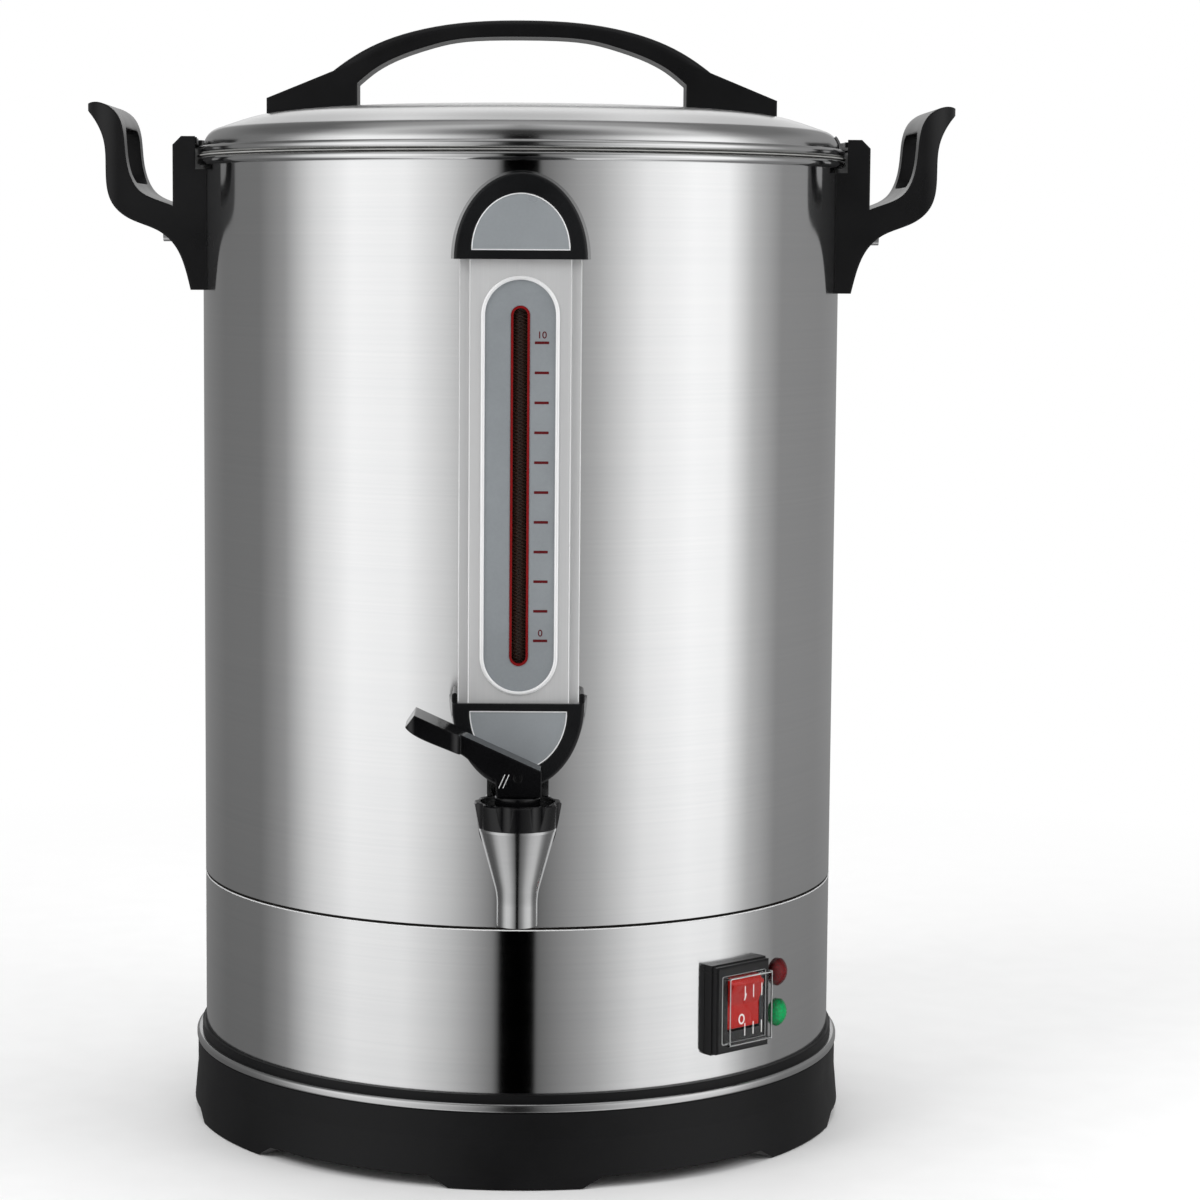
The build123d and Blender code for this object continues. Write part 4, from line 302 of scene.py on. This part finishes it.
def in_scene(name, data):
    """New object of a mesh, a text, a light or a camera."""
    thing = bpy.data.objects.new(name, data)
    bpy.context.scene.collection.objects.link(thing)
    return thing


def new_piece(name, mesh, material, body):
    """Piece that rides a body of the urn."""
    mesh.materials.append(material)
    piece = in_scene(name, mesh)
    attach(piece, body)
    return piece


def smooth_piece(name, vertices, faces, material, body):
    """Smooth piece from points in metres and faces."""
    mesh = bpy.data.meshes.new(name)
    mesh.from_pydata([tuple(v) for v in vertices], [], faces)
    mesh.shade_smooth()
    return new_piece(name, mesh, material, body)


def tube_along(name, points, radius, material, body, closed=False, sides=8, across=(0, 1, 0)):
    """Round bead along a line of points in a plane across a direction, all in metres."""
    rows, count = [], len(points)
    for i, point in enumerate(points):
        before = points[i - 1] if i or closed else points[i]
        after = points[(i + 1) % count] if i + 1 < count or closed else points[i]
        along = (after - before).normalized()
        side = along.cross(Vector(across)).normalized()
        up = along.cross(side)
        rows.append([point + radius * (cos(2 * pi * k / sides) * side + sin(2 * pi * k / sides) * up)
                     for k in range(sides)])
    vertices = [v for row in rows for v in row]
    faces = []
    for i in range(count if closed else count - 1):
        j = (i + 1) % count
        for k in range(sides):
            m = (k + 1) % sides
            faces.append((i * sides + k, i * sides + m, j * sides + m, j * sides + k))
    if not closed:
        faces.append(tuple(range(sides)))
        faces.append(tuple((count - 1) * sides + k for k in reversed(range(sides))))
    smooth_piece(name, vertices, faces, material, body)


def slab(name, outline, origin, right, up, out, thickness, material, body):
    """Flat piece from an outline in millimetres, on a plane through an origin in metres."""
    mesh = bpy.data.meshes.new(name)
    form = bmesh.new()
    floor = [form.verts.new(origin + MM * (x * right + y * up)) for x, y in outline]
    face = form.faces.new(floor)
    raised = bmesh.ops.extrude_face_region(form, geom=[face])["geom"]
    raised = [g for g in raised if isinstance(g, bmesh.types.BMVert)]
    bmesh.ops.translate(form, vec=out * thickness * MM, verts=raised)
    bmesh.ops.recalc_face_normals(form, faces=form.faces[:])
    form.to_mesh(mesh)
    form.free()
    new_piece(name, mesh, material, body)


def rounded(width, height, corner, steps):
    """Outline of a rectangle with round corners, about its middle."""
    points = []
    for cx, cy, start in ((1, 1, 0), (-1, 1, 90), (-1, -1, 180), (1, -1, 270)):
        for k in range(steps + 1):
            angle = radians(start + 90 * k / steps)
            points.append((cx * (width / 2 - corner) + corner * cos(angle),
                           cy * (height / 2 - corner) + corner * sin(angle)))
    return points


def bow(centre_r, centre_z, radius, start, end, steps):
    """Round stretch of a profile, as (radius, height) points in millimetres; angles in degrees."""
    angles = [radians(start + (end - start) * k / steps) for k in range(steps + 1)]
    return [(centre_r + radius * cos(a), centre_z + radius * sin(a)) for a in angles]


LATHE_STEPS, SHARP_ANGLE = 480, radians(32)


def lathe(name, profile, node, material, body="urn"):
    """Turned piece about the urn's axis from a closed profile in millimetres, shown in place of a node if
    one is given."""
    turns = [(cos(2 * pi * k / LATHE_STEPS), sin(2 * pi * k / LATHE_STEPS)) for k in range(LATHE_STEPS)]
    vertices, rows = [], []
    for radius, height in profile:
        if radius < 1e-6:
            rows.append([len(vertices)] * LATHE_STEPS)
            vertices.append((0, 0, height * MM))
        else:
            rows.append([len(vertices) + k for k in range(LATHE_STEPS)])
            vertices += [(radius * c * MM, radius * s * MM, height * MM) for c, s in turns]
    faces = []
    for upper, lower in zip(rows, rows[1:] + rows[:1]):
        for k in range(LATHE_STEPS):
            m = (k + 1) % LATHE_STEPS
            corners = [upper[k], lower[k], lower[m], upper[m]]
            face = [v for i, v in enumerate(corners) if v not in corners[:i]]
            if len(face) > 2:
                faces.append(face)
    piece = smooth_piece(name, vertices, faces, material, body)
    form = bmesh.new()
    form.from_mesh(piece.data)
    bmesh.ops.recalc_face_normals(form, faces=form.faces[:])
    form.to_mesh(piece.data)
    form.free()
    piece.data.shade_smooth()
    piece.data.set_sharp_from_angle(angle=SHARP_ANGLE)
    if node:
        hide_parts(node)


# ---------------------------------------------------------------- turned tank, lid and trim ring
BARREL_R, SHEET, RIM_MID_Z, BEAD_R = 150.0, 1.0, 451.2, 2.0
SEAM_LOW_Z, SEAM_HIGH_Z, FOOT_EASE = 115.0, 116.0, 0.3
FLOOR_Z, FLOOR_CORNER_R, WELL_R, WELL_DEPTH = 125.0, 0.6, 34.0, 12.0
INNER_R = BARREL_R - SHEET
well_z = FLOOR_Z - WELL_DEPTH
bead_start = -180 + degrees(atan2(sqrt(BEAD_R**2 - SHEET**2), SHEET))
tank_profile = (
    [(INNER_R, SEAM_HIGH_Z), (BARREL_R - FOOT_EASE, SEAM_HIGH_Z), (BARREL_R, SEAM_HIGH_Z + FOOT_EASE)]
    + bow(INNER_R + BEAD_R, RIM_MID_Z, BEAD_R, bead_start, 180, 28)
    + [(INNER_R, FLOOR_Z + FLOOR_CORNER_R)]
    + bow(INNER_R - FLOOR_CORNER_R, FLOOR_Z + FLOOR_CORNER_R, FLOOR_CORNER_R, 0, -90, 4)
    + [(WELL_R, FLOOR_Z), (WELL_R, well_z), (0.0, well_z), (0.0, well_z - SHEET)]
    + [(WELL_R + SHEET, well_z - SHEET), (WELL_R + SHEET, FLOOR_Z - SHEET), (INNER_R, FLOOR_Z - SHEET)]
)
lathe("tank_wall", tank_profile, "tank", brushed)

# painted shade in the seam: a dark ring; painted highlight: a thin bright line on the skirt's edge below it
SHADOW_INNER_R, SHADOW_OUTER_R, SHADOW_GAP = 149.3, 149.65, 0.05
EDGE_BEAD_R, EDGE_INSET, EDGE_DROP = 0.28, 0.16, 0.2
shadow_low_z, shadow_high_z = SEAM_LOW_Z + SHADOW_GAP, SEAM_HIGH_Z - SHADOW_GAP
shadow_profile = [(SHADOW_INNER_R, shadow_low_z), (SHADOW_OUTER_R, shadow_low_z),
                  (SHADOW_OUTER_R, shadow_high_z), (SHADOW_INNER_R, shadow_high_z)]
lathe("seam_shadow", shadow_profile, None, painted_seam_shade)
edge_profile = bow(BARREL_R - EDGE_INSET, SEAM_LOW_Z - EDGE_DROP, EDGE_BEAD_R, 0, 342, 19)
lathe("skirt_edge", edge_profile, None, painted_highlight)

LID_R, LID_BEAD_Z, LID_CORNER_Z, SHOULDER_R, CREST_SLOPE = 149.8, 456.3, 457.6, 9.5, 18.5
LID_BEAD_R, LID_BEAD_START, CROWN_Z, CREST_R, CREST_DROP = 1.9, 118, 477.6, 121.0, 4.3
MID_R, MID_DROP = 0.58 * CREST_R, 0.18 * CREST_DROP
MID_RISE, CREST_RISE = -0.035, -0.165  # the crown's rise over its radius at those two places
CROWN_STEPS = 16


def crown(drop, shoulder):
    """Points down the lid's crown: a smooth curve through its named heights."""
    lean = radians(CREST_SLOPE)
    end_r, end_z = LID_R - SHOULDER_R + shoulder * sin(lean), LID_CORNER_Z + shoulder * cos(lean)
    top = CROWN_Z - drop
    knots = [(0.0, top, 0.0), (MID_R, top - MID_DROP, MID_RISE), (CREST_R, top - CREST_DROP, CREST_RISE),
             (end_r, end_z, -tan(lean))]
    points = []
    for (r0, z0, m0), (r1, z1, m1) in zip(knots, knots[1:]):
        for k in range(CROWN_STEPS):
            t, width = k / CROWN_STEPS, r1 - r0
            z = (z0 * (2 * t**3 - 3 * t**2 + 1) + m0 * width * (t**3 - 2 * t**2 + t)
                 + z1 * (3 * t**2 - 2 * t**3) + m1 * width * (t**3 - t**2))
            points.append((r0 + t * width, z))
    return points


lid_profile = (
    crown(0, SHOULDER_R) + bow(LID_R - SHOULDER_R, LID_CORNER_Z, SHOULDER_R, 90 - CREST_SLOPE, 0, 20)
    + bow(LID_R - SHEET + LID_BEAD_R, LID_BEAD_Z, LID_BEAD_R, LID_BEAD_START, -180, 26)
    + bow(LID_R - SHOULDER_R, LID_CORNER_Z, SHOULDER_R - SHEET, 0, 90 - CREST_SLOPE, 16)
    + crown(SHEET, SHOULDER_R - SHEET)[::-1]
)
lathe("lid_shell", lid_profile, "lid", spun, body="lid")

TRIM_INNER_R, TRIM_W, TRIM_LOW_Z, TRIM_H = 151.9, 2.6, 34.0, 4.0
trim_mid_r = TRIM_INNER_R + TRIM_W / 2
trim_profile = (
    [(TRIM_INNER_R, TRIM_LOW_Z)]
    + bow(trim_mid_r, TRIM_LOW_Z + TRIM_W / 2, TRIM_W / 2, -90, 0, 10)
    + bow(trim_mid_r, TRIM_LOW_Z + TRIM_H - TRIM_W / 2, TRIM_W / 2, 0, 90, 10)
    + [(TRIM_INNER_R, TRIM_LOW_Z + TRIM_H)]
)
lathe("trim_bead", trim_profile, "trim_ring", rolled)

# ---------------------------------------------------------------- sight gauge: scale marks and figures
TICKS = 11
TICK_TOP_Z, TICK_PITCH = 372.1, 12.68
TICK_LEFT, TICK_RIGHT, TICK_T, TICK_CORNER_R = 6.1, 12.2, 1.15, 0.2
FIGURE_H, FIGURE_LIFT = 3.0, 1.9
EM_PER_HEIGHT = 1.38  # font size for a figure of height 1
BOLDER = 0.05  # added all round the figures' strokes
PRINT_T = 0.06
tick_mid_x = (TICK_LEFT + TICK_RIGHT) / 2
plate_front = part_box("gauge_scale")[0].y


def figure(name, text, base_z):
    """Printed figure on the scale plate."""
    font = bpy.data.curves.new(name, "FONT")
    font.body, font.size, font.align_x = text, FIGURE_H * EM_PER_HEIGHT * MM, "CENTER"
    font.extrude, font.offset = PRINT_T * MM / 2, BOLDER * MM
    holder = in_scene(name + "_text", font)
    bpy.context.view_layer.update()
    mesh = bpy.data.meshes.new_from_object(holder)
    bpy.data.objects.remove(holder)
    foot = Matrix.Translation((tick_mid_x * MM, plate_front, base_z * MM))
    mesh.transform(foot @ Matrix.Rotation(pi / 2, 4, "X"))
    mesh.materials.clear()
    new_piece(name, mesh, print_red, "urn")


for i in range(TICKS):
    middle = Vector((tick_mid_x * MM, plate_front, (TICK_TOP_Z - i * TICK_PITCH) * MM))
    outline = rounded(TICK_RIGHT - TICK_LEFT, TICK_T, TICK_CORNER_R, 2)
    slab(f"scale_tick_{i}", outline, middle, X, Z, -Y, PRINT_T, print_red, "urn")
figure("scale_figure_10", "10", TICK_TOP_Z + FIGURE_LIFT)
figure("scale_figure_0", "0", TICK_TOP_Z - (TICKS - 1) * TICK_PITCH + FIGURE_LIFT)

# ---------------------------------------------------------------- switch marks
SWITCH_ANGLE, SWITCH_Z = radians(40.5), 74
switch_right = Vector((cos(SWITCH_ANGLE), sin(SWITCH_ANGLE), 0))
switch_out = Vector((sin(SWITCH_ANGLE), -cos(SWITCH_ANGLE), 0))
switch_mid = (BARREL_R * switch_out + SWITCH_Z * Z) * MM
PIVOT_OUT, PIVOT_RISE, ROCKER_R, ROCKER_T, ROCKER_TILT = 2.2, 2.2, 12, 4.4, radians(9)
valley_reach = sqrt(ROCKER_R**2 - ROCKER_T**2)
crest_out = ROCKER_T + valley_reach * sin(ROCKER_TILT)
crest_reach = sqrt(ROCKER_R**2 - crest_out**2)
MARK_T, MARK_SUNK = 0.1, 0.03
ON_UP, ON_W, ON_H, ON_CORNER_R = 3.4, 0.8, 3.6, 0.3
OFF_UP, OFF_X, OFF_HALF_W, OFF_HALF_H, OFF_STEPS = -6.8, -1.2, 1.9, 2.4, 32
HOLE_SHARE_X, HOLE_SHARE_UP = 0.62, 0.68


def rocker_point(up, out):
    """A point of the rocker from its own axes, up and outwards from the pivot, millimetres."""
    tilted_up = up * cos(ROCKER_TILT) - out * sin(ROCKER_TILT)
    tilted_out = up * sin(ROCKER_TILT) + out * cos(ROCKER_TILT)
    return switch_mid + MM * ((PIVOT_OUT + tilted_out) * switch_out + (PIVOT_RISE + tilted_up) * Z)


def rocker_mark(name, outline, up):
    """White mark moulded on the rocker's face, sunk a little into it."""
    rise = crest_out - ROCKER_T
    out = ROCKER_T + rise * abs(up) / crest_reach
    slope = atan2(rise, crest_reach) * (1 if up > 0 else -1) + ROCKER_TILT
    face_up = Z * cos(slope) + switch_out * sin(slope)
    face_out = switch_out * cos(slope) - Z * sin(slope)
    slab(name, outline, rocker_point(up, out - MARK_SUNK), switch_right, face_up, face_out, MARK_T,
         mark_white, "rocker")


def oval(k, share_x=1.0, share_up=1.0):
    """A point of the off mark's outline, or of the hole in it."""
    turn = 2 * pi * (k % OFF_STEPS) / OFF_STEPS
    return OFF_X + share_x * OFF_HALF_W * cos(turn), share_up * OFF_HALF_H * sin(turn)


rocker_mark("mark_on", rounded(ON_W, ON_H, ON_CORNER_R, 2), ON_UP)
for k in range(OFF_STEPS):
    hole = [oval(m, HOLE_SHARE_X, HOLE_SHARE_UP) for m in (k + 1, k)]
    rocker_mark(f"mark_off_{k}", [oval(k), oval(k + 1)] + hole, OFF_UP)

# painted highlights along the clear cover's edges, and short white strokes on its face as painted
# reflections
COVER_W, COVER_H, COVER_FACE, COVER_FOOT = 27.0, 31.0, 12.25, 6.8
COVER_CORNER_R, COVER_LINE_R = 0.8, 0.2
STROKE_W, STROKE_L, STROKE_CORNER_R, STROKE_T, STROKE_SUNK = 0.5, 5.8, 0.24, 0.06, 0.08
STROKES_UP, STROKES_X = (8.3, -8.5), (-4.4, 0.8, 6.0)


def cover_point(x, up, out):
    """A point by the clear cover, from the switch's middle on the barrel, millimetres."""
    return switch_mid + MM * (x * switch_right + up * Z + out * switch_out)


for end, out, inset in (("front", COVER_FACE - 0.55, 0.5), ("foot", COVER_FOOT + 0.25, 0.1)):
    outline = rounded(COVER_W - 2 * inset, COVER_H - 2 * inset, COVER_CORNER_R, 4)
    loop = [cover_point(x, up, out) for x, up in outline]
    tube_along("cover_edge_" + end, loop, COVER_LINE_R * MM, cover_edge_highlight, "urn", closed=True,
               sides=10, across=switch_out)
# painted reflections: short white strokes on the cover's face
stroke = rounded(STROKE_W, STROKE_L, STROKE_CORNER_R, 3)
for row, up in enumerate(STROKES_UP):
    for k, x in enumerate(STROKES_X):
        middle = cover_point(x, up, COVER_FACE - STROKE_SUNK)
        slab(f"cover_stroke_{row}_{k}", stroke, middle, switch_right, Z, switch_out, STROKE_T, mark_white,
             "urn")

# ---------------------------------------------------------------- two painted highlights on the lever's heel
HEEL_FACE_Y, PIN_Z = -202.3, 191.0
LINE_FOOT, LINE_HEAD = Vector((-8.0, 0, -4.2)), Vector((-5.4, 0, 1.6))
LINE_W, LINE_CORNER_R, LINE_T, LINE_PITCH = 0.32, 0.15, 0.05, 1.75
line_run = LINE_HEAD - LINE_FOOT
line_up = line_run.normalized()
outline = rounded(LINE_W, line_run.length, LINE_CORNER_R, 3)
for k in range(2):
    middle = (LINE_FOOT + LINE_HEAD) / 2 + Vector((k * LINE_PITCH, HEEL_FACE_Y, PIN_Z))
    slab(f"lever_line_{k}", outline, middle * MM, line_up.cross(Y), line_up, -Y, LINE_T, painted_highlight,
         "tap_lever")

# ---------------------------------------------------------------- sight gauge: painted highlight lines
INLAY_LINE_R, INLAY_INSET = 0.28, 0.25
PLATE_LINE_R, PLATE_OUTSET = 0.85, 0.5
COLUMN_LINE_R, COLUMN_LINE_DEPTH = 0.3, 0.25
ARC_STEPS, FLAT_STEPS, END_STEPS = 48, 24, 32


def arch(half_width, height, base_z, way, y):
    """Closed line round a half ellipse, in metres."""
    turns = [pi * k / ARC_STEPS for k in range(ARC_STEPS + 1)]
    points = [Vector((half_width * cos(t), y, base_z + way * height * sin(t))) * MM for t in turns]
    across = [half_width * (-1 + 2 * k / FLAT_STEPS) for k in range(1, FLAT_STEPS)]
    return points + [Vector((x, y, base_z)) * MM for x in across]


for end, way in (("top", 1), ("bottom", -1)):
    low, high = [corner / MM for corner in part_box("gauge_inlay_" + end)]
    base_z = (low.z if way > 0 else high.z) + way * INLAY_INSET
    loop = arch(high.x - INLAY_INSET, high.z - low.z - 2 * INLAY_INSET, base_z, way, low.y)
    tube_along("inlay_edge_" + end, loop, INLAY_LINE_R * MM, painted_highlight, "urn", closed=True)

column_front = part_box("gauge_column")[0].y / MM
low, high = [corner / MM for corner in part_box("gauge_scale")]
half_w, half_h = high.x + PLATE_OUTSET, (high.z - low.z) / 2 + PLATE_OUTSET
stadium = []
for way in (1, -1):
    centre_z = (high.z + low.z) / 2 + way * (half_h - half_w)
    for k in range(END_STEPS + 1):
        angle = pi * k / END_STEPS + (0 if way > 0 else pi)
        stadium.append(Vector((half_w * cos(angle), column_front, centre_z + half_w * sin(angle))) * MM)
tube_along("scale_plate_edge", stadium, PLATE_LINE_R * MM, painted_highlight, "urn",
           closed=True, sides=16)

COLUMN_HALF_W, FRONT_HALF_W, LIP_SETBACK, COLUMN_LINE_ENDS_Z = 26.0, 21.7, 2.5, (218.6, 407.1)
for side, name in ((-1, "left"), (1, "right")):
    for line, (half, setback) in enumerate(((FRONT_HALF_W, 0.0), (COLUMN_HALF_W, LIP_SETBACK))):
        x, y = side * (half - COLUMN_LINE_R), column_front + setback + COLUMN_LINE_DEPTH
        ends = [Vector((x, y, z)) * MM for z in COLUMN_LINE_ENDS_Z]
        tube_along(f"column_edge_{name}_{line}", ends, COLUMN_LINE_R * MM, painted_highlight, "urn",
                   sides=12)

# ---------------------------------------------------------------- studio
# the ground, metres: pale where it is near, and plain white to the camera further out
GROUND_HALF, GROUND_Z, NEAR_R, FAR_R = 12.0, -0.0004, 0.35, 0.9
floor_mesh = bpy.data.meshes.new("floor")
floor_corners = [(-GROUND_HALF, -GROUND_HALF, GROUND_Z), (GROUND_HALF, -GROUND_HALF, GROUND_Z),
                 (GROUND_HALF, GROUND_HALF, GROUND_Z), (-GROUND_HALF, GROUND_HALF, GROUND_Z)]
floor_mesh.from_pydata(floor_corners, [], [(0, 1, 2, 3)])
floor = in_scene("floor", floor_mesh)
floor.visible_glossy = False
floor_material = bpy.data.materials.new("floor_white")
tree = Tree(floor_material)
tree.shader.inputs["Roughness"].default_value = 0.6
speck = tree.noise(tree.place(), 40.0, 3.0)
tree.into("Base Color", tree.ramp(speck, ((0.3, grey(0.90)), (0.7, grey(0.92)))))
where = tree.add("TexCoord").outputs["Object"]
distance = tree.add("VectorMath", {0: where}, operation="LENGTH").outputs["Value"]
far = tree.spread(distance, 0.0, 1.0, NEAR_R, FAR_R)
seen = tree.add("LightPath").outputs["Is Camera Ray"]
white = tree.add("Emission", {"Color": (1, 1, 1, 1), "Strength": 1.0}).outputs[0]
mixed = tree.add("MixShader", {"Fac": tree.math("MULTIPLY", far, seen)})
tree.links.new(tree.shader.outputs[0], mixed.inputs[1])
tree.links.new(white, mixed.inputs[2])
tree.links.new(mixed.outputs[0], tree.output.inputs["Surface"])
floor_mesh.materials.append(floor_material)

# reflectors round the set, on the inside of a ball that only shiny surfaces see: two cards with a dark
# gap at the camera, dimmer towards the floor and above, a grey ceiling, and a narrow white card opposite
# the camera
BALL_R, BALL_Z = 2.9, 0.3
form = bmesh.new()
bmesh.ops.create_uvsphere(form, u_segments=96, v_segments=64, radius=BALL_R)
ball_mesh = bpy.data.meshes.new("reflectors")
form.to_mesh(ball_mesh)
form.free()
ball = in_scene("reflectors", ball_mesh)
ball.location = (0, 0, BALL_Z)
for seen_by in ("camera", "diffuse", "transmission", "volume_scatter", "shadow"):
    setattr(ball, "visible_" + seen_by, False)
CARDS = (  # azimuth from the camera's side towards +X, degrees, and brightness
    (-180, 0.28), (-130, 0.17), (-104, 0.18), (-90, 0.32), (-76, 0.76), (-60, 1.06), (-40, 1.00),
    (-24, 0.66), (-7.2, 0.21), (-6.7, 0.0), (5.7, 0.0), (6.2, 0.15), (26, 0.46), (44, 0.92), (62, 1.10),
    (76, 1.04), (89, 0.52), (104, 0.27), (135, 0.25), (180, 0.28),
)
CARD_STRENGTH = 1.2
DROP_SHADE, DROP_LOW, DROP_HIGH = 0.25, -0.35, -0.17  # share of black laid over the cards, low down
ABOVE_FROM, ABOVE_TO, OVERHEAD_FROM, OVERHEAD_TO = [sin(radians(angle)) for angle in (24, 36, 54, 68)]
UPPER_GREY, UPPER_SHARE_MIDDLE, UPPER_SHARE_SIDES = 0.03, 0.85, 0.4
MIDDLE_TO, SIDES_FROM = radians(10), radians(70)
TOP_GREY, TOP_SHARE = 0.30, 0.75
WHITE_CARD, WHITE_LOW_FROM, WHITE_LOW_TO = 0.95, 0.10, 0.18
WHITE_HIGH_FROM, WHITE_HIGH_TO = [sin(radians(angle)) for angle in (38, 44)]
WHITE_SIDE_FROM, WHITE_SIDE_TO = radians(163), radians(172)
card_material = bpy.data.materials.new("reflector_cards")
tree = Tree(card_material)
x, y, z = tree.add("SeparateXYZ", {"Vector": tree.add("TexCoord").outputs["Object"]}).outputs
turn = tree.math("ARCTAN2", x, tree.math("MULTIPLY", y, -1.0))
tone = tree.ramp(tree.math("MULTIPLY_ADD", turn, 1 / (2 * pi), 0.5),
                 [((angle + 180) / 360, grey(level / CARD_STRENGTH)) for angle, level in CARDS])
height = tree.math("MULTIPLY", z, 1 / BALL_R)  # sine of the elevation
drop = tree.spread(height, DROP_SHADE, 0.0, DROP_LOW, DROP_HIGH)
aside = tree.math("ABSOLUTE", turn)
back = tree.spread(aside, 0.0, 1.0, WHITE_SIDE_FROM, WHITE_SIDE_TO)
above = tree.spread(height, 0.0, 1.0, ABOVE_FROM, ABOVE_TO)
overhead = tree.spread(height, 0.0, 1.0, OVERHEAD_FROM, OVERHEAD_TO)
risen = tree.math("MULTIPLY", back, tree.spread(height, 0.0, 1.0, WHITE_LOW_FROM, WHITE_LOW_TO))
behind = tree.math("MULTIPLY", risen, tree.spread(height, 1.0, 0.0, WHITE_HIGH_FROM, WHITE_HIGH_TO))


def blend(factor, under, over):
    """Colour between two, where the second is a socket or a plain colour."""
    mixer = tree.add("Mix", {"Factor": factor, 6: under, 7: over}, data_type="RGBA")
    return mixer.outputs[2]


upper_share = tree.spread(aside, UPPER_SHARE_MIDDLE, UPPER_SHARE_SIDES, MIDDLE_TO, SIDES_FROM)
upper = blend(upper_share, tone, grey(UPPER_GREY))
top = blend(TOP_SHARE, tone, grey(TOP_GREY))
tone = blend(overhead, blend(above, blend(drop, tone, grey(0.0)), upper), top)
tone = blend(behind, tone, grey(WHITE_CARD / CARD_STRENGTH))
glow = tree.add("Emission", {"Color": tone, "Strength": CARD_STRENGTH})
tree.links.new(glow.outputs[0], tree.output.inputs["Surface"])
ball_mesh.materials.append(card_material)

SKY_FILL = 0.62  # strength of the white surround as light; shown and reflected it is plain white
world = bpy.data.worlds.new("studio")
bpy.context.scene.world = world
tree = Tree(world)
path = tree.add("LightPath").outputs
bounced = tree.math("MAXIMUM", path["Is Glossy Ray"], path["Is Transmission Ray"])
shown = tree.math("MAXIMUM", path["Is Camera Ray"], bounced)
sky = next(n for n in tree.nodes if n.type == "BACKGROUND")
sky.inputs["Color"].default_value = (1, 1, 1, 1)
tree.links.new(tree.spread(shown, SKY_FILL, 1.0, 0.0, 1.0), sky.inputs["Strength"])


def softbox(name, place, aim, size, power):
    """Area light that shiny surfaces don't see; metres and watts."""
    light = bpy.data.lights.new(name, "AREA")
    light.shape, light.size, light.size_y, light.energy = "RECTANGLE", size[0], size[1], power
    holder = in_scene(name, light)
    holder.location = place
    holder.rotation_euler = (Vector(aim) - Vector(place)).to_track_quat("-Z", "Y").to_euler()
    holder.visible_glossy = False


softbox("key", place=(-1.5, -1.3, 1.9), aim=(0, 0, 0.25), size=(1.2, 1.2), power=26)
softbox("fill", place=(1.7, -1.0, 1.5), aim=(0, 0, 0.25), size=(1.2, 1.2), power=16)
softbox("top", place=(0.1, 0.4, 2.3), aim=(0, 0, 0.3), size=(1.6, 1.2), power=18)

# ---------------------------------------------------------------- camera
CAMERA_BACK, CAMERA_UP, CAMERA_DIP, CAMERA_ROLL = 1.5185, 0.4124, 0.1034, 0.0059  # metres and radians
SENSOR_W, FOCAL_LENGTH, SHIFT_X, SHIFT_Y = 36.0, 95.46, 0.0675, -0.0192
camera_data = bpy.data.cameras.new("camera")
camera_data.sensor_fit, camera_data.sensor_width, camera_data.lens = "HORIZONTAL", SENSOR_W, FOCAL_LENGTH
camera_data.shift_x, camera_data.shift_y = SHIFT_X, SHIFT_Y
camera = in_scene("camera", camera_data)
aimed = Matrix.Rotation(pi / 2 - CAMERA_DIP, 4, "X") @ Matrix.Rotation(CAMERA_ROLL, 4, "Z")
camera.matrix_world = Matrix.Translation((0, -CAMERA_BACK, CAMERA_UP)) @ aimed
bpy.context.scene.camera = camera
bpy.context.scene.view_settings.view_transform = "Standard"
